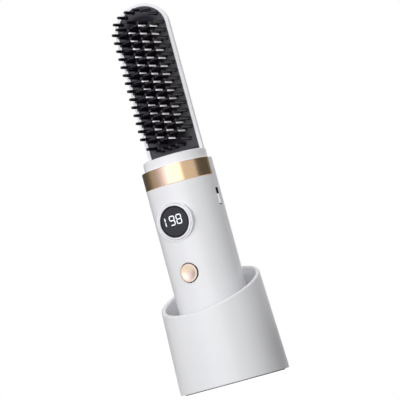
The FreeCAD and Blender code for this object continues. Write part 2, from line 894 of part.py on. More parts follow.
def neck_screws():
    """Two screws driven up from inside the collar into the head."""
    screws = []
    for side in left_and_right:
        screws.append(screw_up(
            neck_screw_radius,
            neck_screw_head_radius,
            neck_screw_head,
            collar_plate + neck_screw_bite,
            side * neck_screw_spread,
            neck_offset,
            collar_top - collar_plate - neck_screw_head,
        ))
    return Part.makeCompound(screws)


def behind(depth):
    """Everything behind an upright plane."""
    reach = head_radius + head_radius
    return block(-reach, reach, depth, reach, 0, head_top + overrun)


def head_rear_shell():
    """Half-round back of the head: thin wall, domed end, floor and screw bosses."""
    outer = domed_body(head_radius, head_dome, head_foot, dome_foot)
    hollow = domed_body(head_inner, head_dome - head_wall, comb_foot, dome_foot)
    shell = outer.cut(hollow)
    for side in left_and_right:
        boss_top = comb_foot + neck_boss_height
        shell = shell.fuse(disc(neck_boss_radius, head_foot, boss_top, side * neck_screw_spread, neck_offset))
    return shell.removeSplitter().common(behind(frame_back)).cut(neck_holes())


def head_frame():
    """Flat front frame that closes the shell and leaves the arched opening for the comb plate."""
    solid = domed_body(head_radius, head_dome, head_foot, dome_foot)
    slab = solid.common(behind(head_face)).cut(behind(frame_back))
    return slab.cut(arched_slab(
        opening_width, opening_arch, comb_foot, dome_foot, head_face - overrun, frame_back + overrun))


def fin_places():
    """Fin centres: a middle column and two side columns half a row higher."""
    places = []
    for row in range(fin_rows):
        places.append((0, first_row + row * row_pitch))
    for side in left_and_right:
        for row in range(fin_rows - 1):
            places.append((side * fin_spacing, first_row + row_pitch / 2 + row * row_pitch))
    return places


def heater_screw_heights():
    """Heights of the two screws, one below the lowest fin and one above the highest."""
    return (heater_screw_low, heater_screw_high)


def comb_plate():
    """Plate with a slot for every heating fin and a flange that sits behind the frame."""
    sill = comb_foot + fit_gap
    plate = arched_slab(comb_width, comb_arch, sill, dome_foot, comb_face, frame_back)
    flange = arched_slab(comb_flange_width, comb_flange_arch, sill, dome_foot, frame_back, comb_back)
    plate = plate.fuse(flange).removeSplitter()
    half_width = fin_width / 2 + fin_slot_gap
    half_thick = fin_thickness / 2 + fin_slot_gap
    slots = []
    for x, height in fin_places():
        slots.append(block(
            x - half_width,
            x + half_width,
            comb_face - overrun,
            comb_back + overrun,
            height - half_thick,
            height + half_thick,
        ))
    plate = plate.cut(slots)
    hole_radius = heater_screw_radius + screw_gap
    hole_front = comb_back - heater_screw_bite - screw_gap
    for height in heater_screw_heights():
        plate = plate.fuse(rod(heater_boss_radius, comb_back, heater_front, 0, height))
        plate = plate.cut(rod(hole_radius, hole_front, heater_front + overrun, 0, height))
    return plate


def heater_plate():
    """Heat spreader with a round upper end, screwed to the comb plate."""
    half = heater_width / 2
    plate = arched_slab(half, half, heater_foot, heater_top - half, heater_front, heater_back)
    for height in heater_screw_heights():
        plate = plate.cut(rod(
            heater_screw_radius + screw_gap, heater_front - overrun, heater_back + overrun, 0, height))
    return plate


def level_bar(width, thickness, front, back):
    """Bar along y, centred on the axis at height zero."""
    half_width = width / 2
    half_thick = thickness / 2
    return block(-half_width, half_width, front, back, -half_thick, half_thick)


def copies(piece, places):
    """One piece repeated at places in x and height."""
    return Part.makeCompound([piece.translated(FreeCAD.Vector(x, 0, height)) for x, height in places])


def fin_tongue_bar():
    """Narrow end of a fin, inside its cap."""
    return level_bar(fin_tongue_width, fin_tongue_thickness, fin_shoulder - fin_tongue, fin_shoulder)


def heating_fins():
    """Blades that stand on the heater plate, pass through the comb plate and end in tongues."""
    blade = level_bar(fin_width, fin_thickness, fin_shoulder, heater_front)
    return copies(blade.fuse(fin_tongue_bar()).removeSplitter(), fin_places())


def flat_sided(outlines):
    """Solid with flat sides between outlines of equally many corners, closed at both ends."""
    faces = [flat_face(outlines[0]), flat_face(outlines[-1])]
    for near, far in zip(outlines, outlines[1:]):
        for corner in range(len(near)):
            following = (corner + 1) % len(near)
            faces.append(flat_face([near[corner], near[following], far[following], far[corner]]))
    return Part.Solid(Part.Shell(faces))


def fin_cap_outline(depth, share):
    """Corners of a cap's section at a depth, as a share of the fin's section."""
    half_width = share * fin_width / 2
    half_thick = share * fin_thickness / 2
    return [
        FreeCAD.Vector(-half_width, depth, -half_thick),
        FreeCAD.Vector(half_width, depth, -half_thick),
        FreeCAD.Vector(half_width, depth, half_thick),
        FreeCAD.Vector(-half_width, depth, half_thick),
    ]


def fin_tip_caps():
    """Heat-proof caps moulded round the fins' tongues, so that no hot edge meets the scalp."""
    end = fin_shoulder - fin_cap
    cap = flat_sided([
        fin_cap_outline(fin_shoulder, 1),
        fin_cap_outline(end + fin_cap_crown, 1),
        fin_cap_outline(end, fin_cap_end_share),
    ])
    return copies(cap.cut(fin_tongue_bar()), fin_places())


def heater_element():
    """Flat ceramic heater in the middle of the heater plate's back."""
    half = element_width / 2
    middle = (heater_foot + heater_top) / 2
    half_length = element_length / 2
    return block(-half, half, heater_back, element_back, middle - half_length, middle + half_length)


def mica_sheet():
    """Insulating sheet over the element."""
    half = element_width / 2 + mica_margin
    middle = (heater_foot + heater_top) / 2
    half_length = element_length / 2 + mica_margin
    return block(-half, half, element_back, mica_back, middle - half_length, middle + half_length)


def heater_clamp():
    """Folded spring strip: two screwed feet and a bridge that presses on the insulation."""
    low = heater_screw_low - clamp_foot / 2
    high = heater_screw_high + clamp_foot / 2
    outline = [
        (heater_back, low),
        (heater_back, low + clamp_foot + clamp_thickness),
        (mica_back, low + clamp_foot + clamp_thickness),
        (mica_back, high - clamp_foot - clamp_thickness),
        (heater_back, high - clamp_foot - clamp_thickness),
        (heater_back, high),
        (heater_back + clamp_thickness, high),
        (heater_back + clamp_thickness, high - clamp_foot),
        (clamp_back, high - clamp_foot),
        (clamp_back, low + clamp_foot),
        (heater_back + clamp_thickness, low + clamp_foot),
        (heater_back + clamp_thickness, low),
        (heater_back, low),
    ]
    points = [FreeCAD.Vector(-clamp_width / 2, depth, height) for depth, height in outline]
    clamp = Part.Face(Part.makePolygon(points)).extrude(FreeCAD.Vector(clamp_width, 0, 0))
    hole_radius = heater_screw_radius + screw_gap
    hole_back = heater_back + clamp_thickness + overrun
    for height in heater_screw_heights():
        clamp = clamp.cut(rod(hole_radius, heater_back - overrun, hole_back, 0, height))
    return clamp


def thermal_cutout():
    """Round thermal cut-out on the clamp's back."""
    middle = (heater_foot + heater_top) / 2
    return rod(cutout_radius, clamp_back, clamp_back + cutout_thickness, 0, middle)


def heater_screws():
    """Two screws through the clamp's feet and the heater plate into the comb plate."""
    screws = []
    seat = heater_back + clamp_thickness
    length = seat - comb_back + heater_screw_bite
    for height in heater_screw_heights():
        screws.append(screw_forward(
            heater_screw_radius, heater_screw_head_radius, heater_screw_head, length, 0, seat, height))
    return Part.makeCompound(screws)


def bristle_outline(depth, radius):
    """Corners of a bristle's section at a depth."""
    corners = []
    for corner in range(bristle_sides):
        angle = math.tau * (corner + 1 / 2) / bristle_sides
        corners.append(FreeCAD.Vector(radius * math.cos(angle), depth, radius * math.sin(angle)))
    return corners


def bristle():
    """One tapered bristle with a blunt tip, its root on the comb plate's face."""
    tip = comb_face - bristle_length
    return flat_sided([
        bristle_outline(comb_face, bristle_root_radius),
        bristle_outline(tip + bristle_tip, bristle_neck_radius),
        bristle_outline(tip, bristle_tip_radius),
    ])


def comb_bristles():
    """Four columns of bristles beside the fins, on slanted rows midway between the fins' rows."""
    low_row = first_row - row_pitch / 4
    raised_row = first_row + row_pitch / 4
    inner = fin_spacing / 2
    outer = inner + fin_spacing
    columns = [
        (-outer, raised_row, fin_rows),
        (-inner, low_row, fin_rows + 1),
        (inner, raised_row, fin_rows),
        (outer, low_row + row_pitch, fin_rows - 1),
    ]
    places = []
    for x, lowest, count in columns:
        for row in range(count):
            places.append((x, lowest + row * row_pitch))
    return copies(bristle(), places)


def guard_bristles():
    """Row of bristles round the comb plate's edge: two sides, the arch, the corners and the foot."""
    side_x = comb_width - guard_margin
    arch_rise = comb_arch - guard_margin
    lowest_side = first_row + row_pitch - row_pitch / 4
    places = []
    for side in left_and_right:
        places.append((side * (comb_width - guard_corner_inset), comb_foot + guard_corner_lift))
        for row in range(fin_rows - 1):
            places.append((side * side_x, lowest_side + row * row_pitch))
    arch_share = 1 - guard_arch_start_share - guard_arch_start_share
    for step in range(guard_arch_count):
        turn_share = guard_arch_start_share + arch_share * step / (guard_arch_count - 1)
        angle = math.pi * turn_share
        places.append((side_x * math.cos(angle), dome_foot + arch_rise * math.sin(angle)))
    for step in range(guard_foot_count):
        x = (step - (guard_foot_count - 1) / 2) * guard_foot_pitch
        places.append((x, comb_foot + guard_lift))
    return copies(bristle(), places)


def display_bezel():
    """Ring pressed into the display boss, with a ledge that carries the lens."""
    front = -display_front - bezel_rise
    bezel = rod(bezel_radius, front, -bezel_back, 0, display_height)
    bezel = bezel.makeFillet(bezel_round, facing_circles(bezel, bezel_radius, front))
    ledge_front = front + lens_sunk + lens_thickness
    ledge_back = ledge_front + bezel_ledge_thickness
    opening = lens_radius + fit_gap
    bezel = bezel.cut(rod(opening, front - overrun, ledge_front, 0, display_height))
    bezel = bezel.cut(rod(opening - bezel_ledge, front, -bezel_back + overrun, 0, display_height))
    return bezel.cut(rod(opening, ledge_back, -bezel_back + overrun, 0, display_height))


def display_lens():
    """Dark round window over the display."""
    front = -display_front - bezel_rise + lens_sunk
    return rod(lens_radius, front, front + lens_thickness, 0, display_height)


def display_module():
    """Digit block between the bezel and the control board."""
    half_width = module_width / 2
    half_height = module_height / 2
    front = -display_front - bezel_rise + lens_sunk + lens_thickness + bezel_ledge_thickness
    return block(
        -half_width,
        half_width,
        front + fit_gap,
        -board_offset,
        display_height - half_height,
        display_height + half_height,
    )


def control_board():
    """Main circuit board behind the display and button."""
    half = board_width / 2
    board = block(-half, half, -board_offset, -board_back, board_top - board_length, board_top)
    for x, height in post_places():
        board = board.cut(rod(
            board_screw_radius + screw_gap, -board_offset - overrun, -board_back + overrun, x, height))
    return board


def board_screws():
    """Four screws that hold the control board to the front shell's posts."""
    screws = []
    length = board_thickness + board_screw_bite
    for x, height in post_places():
        screws.append(screw_forward(
            board_screw_radius, board_screw_head_radius, board_screw_head, length, x, -board_back, height))
    return Part.makeCompound(screws)


def power_button():
    """Round cap with a dished face, a flange that keeps it in the shell and a stem."""
    front = -handle_radius - button_rise
    cap = rod(button_radius, front, -button_flange_front, 0, button_height)
    cap = cap.makeFillet(button_edge_round, facing_circles(cap, button_radius, front))
    ball_radius = (button_dish_radius ** 2 + button_dish ** 2) / (button_dish + button_dish)
    ball_centre = FreeCAD.Vector(0, front + button_dish - ball_radius, button_height)
    cap = cap.cut(Part.makeSphere(ball_radius, ball_centre))
    flange_back = -button_flange_front + button_flange_thickness
    flange = rod(button_flange_radius, -button_flange_front, flange_back, 0, button_height)
    stem = rod(button_stem_radius, flange_back, -plunger_front, 0, button_height)
    return cap.fuse(flange).fuse(stem).removeSplitter()


def tact_plunger():
    """Plunger of the push switch, which the button's stem rests on."""
    return rod(plunger_radius, -plunger_front, -plunger_front + plunger_length, 0, button_height)


def tact_switch():
    """Square push switch on the control board, bored for its plunger."""
    half = tact_size / 2
    body = block(-half, half, -tact_front, -board_offset, button_height - half, button_height + half)
    bore_back = -board_offset - tact_floor
    bore = rod(plunger_radius + plunger_slack, -tact_front - overrun, bore_back, 0, button_height)
    return body.cut(bore)


def switch_slider():
    """Slide switch knob at the lower end of its slot."""
    half = knob_width / 2
    outer = handle_radius + knob_rise
    knob = block(switch_face - knob_bite, outer, -half, half, knob_foot, knob_foot + knob_length)
    rounded = []
    for edge in knob.Edges:
        if abs(edge.BoundBox.XMin - outer) < tolerance:
            rounded.append(edge)
    return knob.makeFillet(knob_round, rounded)


def slide_switch_body():
    """Switch behind the slot, open towards the knob's stem."""
    half_width = switch_width / 2
    half_height = switch_height / 2
    body = block(
        switch_face - switch_depth,
        switch_face,
        -half_width,
        half_width,
        slot_height - half_height,
        slot_height + half_height,
    )
    half_slot = slot_width / 2
    room = block(
        switch_face - switch_slot_floor, switch_face + overrun, -half_slot, half_slot, slot_foot, slot_top)
    return body.cut(room)


def battery_cells():
    """Two round cells side by side against the rear shell."""
    cells = []
    for side in left_and_right:
        cells.append(disc(cell_radius, cell_foot, cell_foot + cell_length, side * cell_spread, cell_offset))
    return Part.makeCompound(cells)


def battery_cradle():
    """Cradle across the handle, hollowed to hold both cells against the rear shell."""
    foot = cell_foot + cradle_lift
    top = foot + cradle_length
    back = cell_offset - cell_radius + cradle_bite
    reach = handle_inner - fit_gap - fit_gap
    cradle = disc(reach, foot, top).common(block(-reach, reach, -cradle_front, back, foot, top))
    for side in left_and_right:
        cell_room = disc(
            cell_radius + cradle_gap, foot - overrun, top + overrun, side * cell_spread, cell_offset)
        cradle = cradle.cut(cell_room)
    return cradle


pieces = {
    "stand_shell": stand_shell(),
    "stand_socket": stand_socket(),
    "stand_cover": stand_cover(),
    "stand_foot_ring": stand_foot_ring(),
    "stand_screws": stand_screws(),
    "charge_board": charge_board(),
    "charge_screws": charge_screws(),
    "charge_inlet": charge_inlet(),
    "pin_barrels": pin_barrels(),
    "contact_pin_left": contact_pin(-1),
    "contact_pin_right": contact_pin(1),
    "handle_front_shell": handle_front_shell(),
    "handle_rear_shell": handle_rear_shell(),
    "gold_trim_band": gold_trim_band(),
    "handle_end_cap": handle_end_cap(),
    "end_cap_screws": end_cap_screws(),
    "contact_pads": contact_pads(),
    "neck_collar": neck_collar(),
    "neck_screws": neck_screws(),
    "head_rear_shell": head_rear_shell(),
    "head_frame": head_frame(),
    "comb_plate": comb_plate(),
    "comb_bristles": comb_bristles(),
    "guard_bristles": guard_bristles(),
    "heating_fins": heating_fins(),
    "fin_tip_caps": fin_tip_caps(),
    "heater_plate": heater_plate(),
    "heater_element": heater_element(),
    "mica_sheet": mica_sheet(),
    "heater_clamp": heater_clamp(),
    "thermal_cutout": thermal_cutout(),
    "heater_screws": heater_screws(),
    "display_bezel": display_bezel(),
    "display_lens": display_lens(),
    "display_module": display_module(),
    "control_board": control_board(),
    "board_screws": board_screws(),
    "power_button": power_button(),
    "tact_plunger": tact_plunger(),
    "tact_switch": tact_switch(),
    "switch_slider": switch_slider(),
    "slide_switch_body": slide_switch_body(),
    "battery_cells": battery_cells(),
    "battery_cradle": battery_cradle(),
}

os.makedirs("parts", exist_ok=True)
for name, shape in pieces.items():
    shape.exportStep("parts/" + name + ".step")
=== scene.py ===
import math

import bpy
from mathutils import Matrix, Vector


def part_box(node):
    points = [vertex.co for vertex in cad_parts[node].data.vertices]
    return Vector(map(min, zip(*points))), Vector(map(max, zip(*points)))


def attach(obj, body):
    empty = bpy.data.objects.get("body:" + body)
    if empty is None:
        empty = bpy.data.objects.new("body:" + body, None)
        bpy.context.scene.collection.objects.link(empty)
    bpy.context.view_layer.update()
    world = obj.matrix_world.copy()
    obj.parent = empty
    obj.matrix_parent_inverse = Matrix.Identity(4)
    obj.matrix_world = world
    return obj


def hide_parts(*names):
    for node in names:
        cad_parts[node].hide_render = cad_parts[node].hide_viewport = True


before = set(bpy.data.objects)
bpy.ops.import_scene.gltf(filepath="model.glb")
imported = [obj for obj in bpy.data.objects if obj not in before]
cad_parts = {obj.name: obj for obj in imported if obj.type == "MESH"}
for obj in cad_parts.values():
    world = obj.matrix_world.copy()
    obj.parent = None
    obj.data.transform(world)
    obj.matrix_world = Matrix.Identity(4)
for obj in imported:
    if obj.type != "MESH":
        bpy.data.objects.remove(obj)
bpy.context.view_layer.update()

# Stand shell: the outer cup that the brush stands in, injection moulded in white ABS with a fine satin
# texture from the tool. Its slanted rim is rounded, and the cover below clamps it to the socket.


def empty_group(name, inputs, outputs):
    """Shader node group with named sockets, and its two end nodes."""
    group = bpy.data.node_groups.new(name, "ShaderNodeTree")
    for label, kind, value in inputs:
        socket = group.interface.new_socket(label, in_out="INPUT", socket_type=kind)
        socket.default_value = value
    for label, kind in outputs:
        group.interface.new_socket(label, in_out="OUTPUT", socket_type=kind)
    start = group.nodes.new("NodeGroupInput")
    end = group.nodes.new("NodeGroupOutput")
    return group, start, end


def feed(tree, source, socket):
    """Links a socket to another, or sets a plain value on it."""
    if isinstance(source, bpy.types.NodeSocket):
        tree.links.new(source, socket)
    else:
        socket.default_value = source


def maths(tree, operation, *terms):
    """Result of a Math node on sockets and plain numbers."""
    node = tree.nodes.new("ShaderNodeMath")
    node.operation = operation
    for term, socket in zip(terms, node.inputs):
        feed(tree, term, socket)
    return node.outputs["Value"]


def colour_between(tree, share, under, over):
    """Colour from one to another, each a socket or a plain colour, by a share."""
    mix = tree.nodes.new("ShaderNodeMix")
    mix.data_type = "RGBA"
    tree.links.new(share, mix.inputs["Factor"])
    feed(tree, under, mix.inputs[6])
    feed(tree, over, mix.inputs[7])
    return mix.outputs[2]


def noise_at(group, scale_from, detail):
    """Noise on Object coordinates whose scale comes from a socket."""
    place = group.nodes.new("ShaderNodeTexCoord")
    noise = group.nodes.new("ShaderNodeTexNoise")
    noise.inputs["Detail"].default_value = detail
    group.links.new(place.outputs["Object"], noise.inputs["Vector"])
    group.links.new(scale_from, noise.inputs["Scale"])
    return noise


def finish_group(group, start, end, second_colour, clouds, fine):
    """Wires a surface group: cloudy colour, and roughness and height from the fine noise."""
    given = start.outputs
    colour = colour_between(group, clouds.outputs["Fac"], given["Colour"], given[second_colour])
    level = maths(group, "SUBTRACT", fine.outputs["Fac"], 0.5)
    roughness = maths(group, "MULTIPLY_ADD", level, given["Roughness Spread"], given["Roughness"])
    group.links.new(colour, end.inputs["Colour"])
    group.links.new(roughness, end.inputs["Roughness"])
    group.links.new(fine.outputs["Fac"], end.inputs["Height"])


surface_outputs = [
    ("Colour", "NodeSocketColor"),
    ("Roughness", "NodeSocketFloat"),
    ("Height", "NodeSocketFloat"),
]
mould_grain, mould_in, mould_out = empty_group(
    "mould grain",
    [
        ("Colour", "NodeSocketColor", (0.8, 0.8, 0.8, 1.0)),
        ("Flow Colour", "NodeSocketColor", (0.78, 0.78, 0.8, 1.0)),
        ("Flow Scale", "NodeSocketFloat", 30.0),
        ("Grain Scale", "NodeSocketFloat", 3000.0),
        ("Roughness", "NodeSocketFloat", 0.4),
        ("Roughness Spread", "NodeSocketFloat", 0.1),
    ],
    surface_outputs,
)
mould_flow = noise_at(mould_grain, mould_in.outputs["Flow Scale"], detail=2.0)
mould_speck = noise_at(mould_grain, mould_in.outputs["Grain Scale"], detail=3.0)
finish_group(mould_grain, mould_in, mould_out, "Flow Colour", mould_flow, mould_speck)


def shader_of(material):
    """The shader that a material's surface runs through."""
    return material.node_tree.nodes["Principled BSDF"]


def surfaced(name, group, settings, bump_height):
    """Material whose colour, roughness and fine relief come from a surface group."""
    made = bpy.data.materials.new(name)
    made.use_nodes = True
    tree = made.node_tree
    shader = shader_of(made)
    surface = tree.nodes.new("ShaderNodeGroup")
    surface.name = "surface"
    surface.node_tree = group
    for label, value in settings.items():
        surface.inputs[label].default_value = value
    relief = tree.nodes.new("ShaderNodeBump")
    relief.inputs["Distance"].default_value = bump_height
    tree.links.new(surface.outputs["Colour"], shader.inputs["Base Color"])
    tree.links.new(surface.outputs["Roughness"], shader.inputs["Roughness"])
    tree.links.new(surface.outputs["Height"], relief.inputs["Height"])
    tree.links.new(relief.outputs["Normal"], shader.inputs["Normal"])
    return made


def moulded(name, colour, flow_colour, roughness, grain_scale=3000.0, bump_height=0.00001):
    """Moulded plastic: a fine tool texture over faint flow clouds."""
    settings = {
        "Colour": (*colour, 1.0),
        "Flow Colour": (*flow_colour, 1.0),
        "Grain Scale": grain_scale,
        "Roughness": roughness,
    }
    return surfaced(name, mould_grain, settings, bump_height)


def dress(material, *names):
    """Gives CAD nodes their finish."""
    for name in names:
        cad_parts[name].material_slots[0].material = material


stand_white = moulded("satin white stand", (0.86, 0.86, 0.87), (0.84, 0.84, 0.855), 0.30)
dress(stand_white, "stand_shell")

# Stand socket and bottom cover: inner mouldings of the same white ABS, left duller by a coarser tool.
# The socket hangs on the shell's ledge, and the cover is screwed up to its four bosses.

inner_white = moulded(
    "dull white inner moulding", (0.80, 0.80, 0.81), (0.77, 0.77, 0.79), 0.55, grain_scale=1600.0
)
dress(inner_white, "stand_socket", "stand_cover")

# Foot ring: a soft pale grey silicone ring with a matt, slightly dusty skin.
# It is pressed into the cover's groove and keeps the stand from sliding.

foot_silicone = moulded(
    "foot silicone", (0.62, 0.62, 0.63), (0.66, 0.66, 0.66), 0.7, grain_scale=2200.0, bump_height=0.00004
)
dress(foot_silicone, "stand_foot_ring")

# Stand screws: four pan-head steel screws with cross recesses, sunk in the cover. They are zinc-plated over
# fine marks from thread rolling, and the screws inside the brush and the stand have the same finish.

drawn_metal, drawn_in, drawn_out = empty_group(
    "drawn metal",
    [
        ("Colour", "NodeSocketColor", (0.6, 0.6, 0.6, 1.0)),
        ("Stain Colour", "NodeSocketColor", (0.5, 0.5, 0.5, 1.0)),
        ("Stain Scale", "NodeSocketFloat", 300.0),
        ("Line Scale", "NodeSocketFloat", 900.0),
        ("Roughness", "NodeSocketFloat", 0.3),
        ("Roughness Spread", "NodeSocketFloat", 0.15),
    ],
    surface_outputs,
)
drawn_stain = noise_at(drawn_metal, drawn_in.outputs["Stain Scale"], detail=3.0)
drawn_lines = noise_at(drawn_metal, drawn_in.outputs["Line Scale"], detail=4.0)
drawn_stretch = drawn_metal.nodes.new("ShaderNodeMapping")
drawn_stretch.inputs["Scale"].default_value = (0.08, 0.08, 1.0)
drawn_place = drawn_metal.nodes.new("ShaderNodeTexCoord")
drawn_metal.links.new(drawn_place.outputs["Object"], drawn_stretch.inputs["Vector"])
drawn_metal.links.new(drawn_stretch.outputs["Vector"], drawn_lines.inputs["Vector"])
finish_group(drawn_metal, drawn_in, drawn_out, "Stain Colour", drawn_stain, drawn_lines)


def metal(name, colour, stain_colour, roughness, line_scale=900.0, bump_height=0.000004):
    """Bare or plated metal with fine drawn lines and faint staining."""
    settings = {
        "Colour": (*colour, 1.0),
        "Stain Colour": (*stain_colour, 1.0),
        "Line Scale": line_scale,
        "Roughness": roughness,
    }
    made = surfaced(name, drawn_metal, settings, bump_height)
    shader_of(made).inputs["Metallic"].default_value = 1.0
    return made


def settle(name):
    """Names the piece in hand, and puts its place, turn and size into its mesh."""
    bpy.ops.object.transform_apply(location=True, rotation=True, scale=True)
    piece = bpy.context.object
    piece.name = name
    piece.data.name = name
    return piece


def take_up(piece):
    """Makes a piece the active one, and the only one selected."""
    bpy.ops.object.select_all(action="DESELECT")
    piece.select_set(True)
    bpy.context.view_layer.objects.active = piece


def put_away(pattern):
    """Removes a pattern or a cutter once it has served."""
    take_up(pattern)
    bpy.ops.object.delete()


def block(name, size, centre=(0.0, 0.0, 0.0), turn=0.0):
    """Cuboid of a size, turned about the z axis, as a start for a piece."""
    bpy.ops.object.select_all(action="DESELECT")
    bpy.ops.mesh.primitive_cube_add(size=1.0, location=centre, rotation=(0.0, 0.0, turn))
    bpy.context.object.scale = size
    return settle(name)


def clear_picks(kind):
    """Deselects all in edit mode, with faces or edges as what is picked next."""
    bpy.ops.object.mode_set(mode="EDIT")
    bpy.ops.mesh.select_mode(type=kind)
    bpy.ops.mesh.select_all(action="DESELECT")
    bpy.ops.object.mode_set(mode="OBJECT")


def pick_faces(piece, wanted):
    """Selects the faces whose centre and normal a test wants, in edit mode."""
    clear_picks("FACE")
    for face in piece.data.polygons:
        face.select = wanted(face.center, face.normal)
    bpy.ops.object.mode_set(mode="EDIT")


def pick_edges(piece, wanted):
    """Selects the edges whose two ends a test wants, in edit mode."""
    clear_picks("EDGE")
    for edge in piece.data.edges:
        start, end = (piece.data.vertices[index].co for index in edge.vertices)
        edge.select = wanted(start, end)
    bpy.ops.object.mode_set(mode="EDIT")


def extrude(x, y, z):
    """Extrudes the picked faces by a step."""
    bpy.ops.mesh.extrude_region_move(TRANSFORM_OT_translate={"value": (x, y, z)})


def smooth_below(degrees):
    """Leaves edit mode, and smooths the edges that turn by less than an angle."""
    bpy.ops.object.mode_set(mode="OBJECT")
    bpy.ops.object.shade_smooth_by_angle(angle=math.radians(degrees))


def joined(pieces, name):
    """Joins pieces into one."""
    bpy.ops.object.select_all(action="DESELECT")
    for piece in pieces:
        piece.select_set(True)
    bpy.context.view_layer.objects.active = pieces[0]
    bpy.ops.object.join()
    return settle(name)


def copies_at(pattern, places, name):
    """Copies a finished pattern to each place, and joins the copies into one piece."""
    made = []
    for place in places:
        take_up(pattern)
        bpy.ops.object.duplicate()
        bpy.context.object.location = place
        made.append(bpy.context.object)
    return joined(made, name)


end_facing = 0.9              # faces that look along an axis by more than this share are a piece's ends
screw_sides = 24


def cross_screw(name, head_radius, head_depth, shank_radius, length):
    """Pan-head screw on the z axis, head down, with a cross recess in the head."""
    point = shank_radius          # length of the tapered point
    point_share = 0.35            # its end as a share of the shank
    recess_length = head_radius * 1.1
    recess_width = head_radius * 0.26
    recess_depth = head_depth * 0.55
    recess_taper = 0.6            # recess's floor as a share of its mouth
    bpy.ops.object.select_all(action="DESELECT")
    bpy.ops.mesh.primitive_cylinder_add(
        vertices=screw_sides, radius=head_radius, depth=head_depth, location=(0.0, 0.0, head_depth / 2)
    )
    screw = settle(name)
    pick_faces(screw, lambda centre, normal: normal.z > end_facing)
    bpy.ops.mesh.inset(thickness=head_radius - shank_radius)
    extrude(0.0, 0.0, length - point)
    extrude(0.0, 0.0, point)
    bpy.ops.transform.resize(
        value=(point_share, point_share, 1.0), center_override=(0.0, 0.0, head_depth + length)
    )
    pick_edges(screw, lambda start, end: max(start.z, end.z) < head_depth / 10)
    bpy.ops.mesh.bevel(offset=head_depth / 3, segments=3)
    bpy.ops.object.mode_set(mode="OBJECT")
    for turn in (0.0, math.radians(90.0)):
        cutter = block("recess", (recess_length, recess_width, recess_depth * 2), turn=turn)
        pick_faces(cutter, lambda centre, normal: normal.z > end_facing)
        bpy.ops.transform.resize(
            value=(recess_taper, recess_taper, 1.0), center_override=(0.0, 0.0, recess_depth)
        )
        bpy.ops.object.mode_set(mode="OBJECT")
        take_up(screw)
        recess = screw.modifiers.new("recess", "BOOLEAN")
        recess.operation = "DIFFERENCE"
        recess.object = cutter
        bpy.ops.object.modifier_apply(modifier=recess.name)
        put_away(cutter)
    take_up(screw)
    smooth_below(35.0)
    return screw


screw_zinc = metal("zinc screws", (0.60, 0.60, 0.62), (0.52, 0.51, 0.50), 0.32)
dress(screw_zinc, "charge_screws", "neck_screws", "heater_screws", "board_screws")

cover_screw_low, cover_screw_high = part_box("stand_screws")
cover_screw_head_radius = 0.0023
cover_screw_head_depth = 0.0012
cover_screw_shank_radius = 0.0012
cover_screw_length = cover_screw_high.z - cover_screw_low.z - cover_screw_head_depth
cover_screw_spread = cover_screw_high.x - cover_screw_head_radius
cover_screw = cross_screw(
    "cover screw",
    cover_screw_head_radius,
    cover_screw_head_depth,
    cover_screw_shank_radius,
    cover_screw_length,
)
cover_screw_places = [
    (side * cover_screw_spread, end * cover_screw_spread, cover_screw_low.z)
    for side in (-1.0, 1.0)
    for end in (-1.0, 1.0)
]
cover_screws = copies_at(cover_screw, cover_screw_places, "cover_cross_screws")
put_away(cover_screw)
cover_screws.data.materials.append(screw_zinc)
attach(cover_screws, "stand")
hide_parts("stand_screws")

# Charging parts: a green glass-epoxy board, a drawn steel inlet, and brass barrels and pins with a gold
# flash. The board hangs from two posts under the socket, and the pins stand through the socket's floor.

board_green = moulded("board lacquer", (0.012, 0.10, 0.042), (0.016, 0.13, 0.055), 0.3, grain_scale=1200.0)
dress(board_green, "charge_board", "control_board")
inlet_steel = metal("inlet steel", (0.66, 0.66, 0.67), (0.58, 0.57, 0.56), 0.26)
dress(inlet_steel, "charge_inlet")
contact_gold = metal("gold flashed brass", (0.85, 0.63, 0.30), (0.78, 0.55, 0.25), 0.22)
dress(contact_gold, "pin_barrels", "contact_pin_left", "contact_pin_right", "contact_pads")

# Handle shells: two half tubes of the same white ABS that meet on a seam at the sides.
# The end cap and the collar hold them together, so no screw shows.

handle_white = moulded("satin white handle", (0.87, 0.87, 0.88), (0.85, 0.85, 0.865), 0.28)
dress(handle_white, "handle_front_shell", "handle_rear_shell", "handle_end_cap")

# End cap screws: two pan-head screws of the same zinc-plated steel, with cross recesses.
# They run up through the end cap into the handle's bosses, one in front and one behind.

cap_screw_low, cap_screw_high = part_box("end_cap_screws")
cap_screw_head_radius = 0.0022
cap_screw_head_depth = 0.0011
cap_screw_shank_radius = 0.0011
cap_screw_length = cap_screw_high.z - cap_screw_low.z - cap_screw_head_depth
cap_screw_reach = cap_screw_high.y - cap_screw_head_radius
cap_screw = cross_screw(
    "cap screw", cap_screw_head_radius, cap_screw_head_depth, cap_screw_shank_radius, cap_screw_length
)
cap_screw_places = [(0.0, side * cap_screw_reach, cap_screw_low.z) for side in (-1.0, 1.0)]
cap_screws = copies_at(cap_screw, cap_screw_places, "cap_cross_screws")
put_away(cap_screw)
cap_screws.data.materials.append(screw_zinc)
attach(cap_screws, "brush")
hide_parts("end_cap_screws")

# Gold band: a half ring of ABS with a bright gold electroplate that mirrors the room.
# It is clipped flush into the front shell, round the top of the handle.

gold_plate = metal(
    "gold electroplate", (0.80, 0.57, 0.36), (0.77, 0.54, 0.33), 0.16, line_scale=500.0, bump_height=0.000001
)
dress(gold_plate, "gold_trim_band")

# Display: a white bezel pressed into its boss, and a smoked acrylic window with a black border printed on its
# back. The lit digits behind it are seven-bar figures.


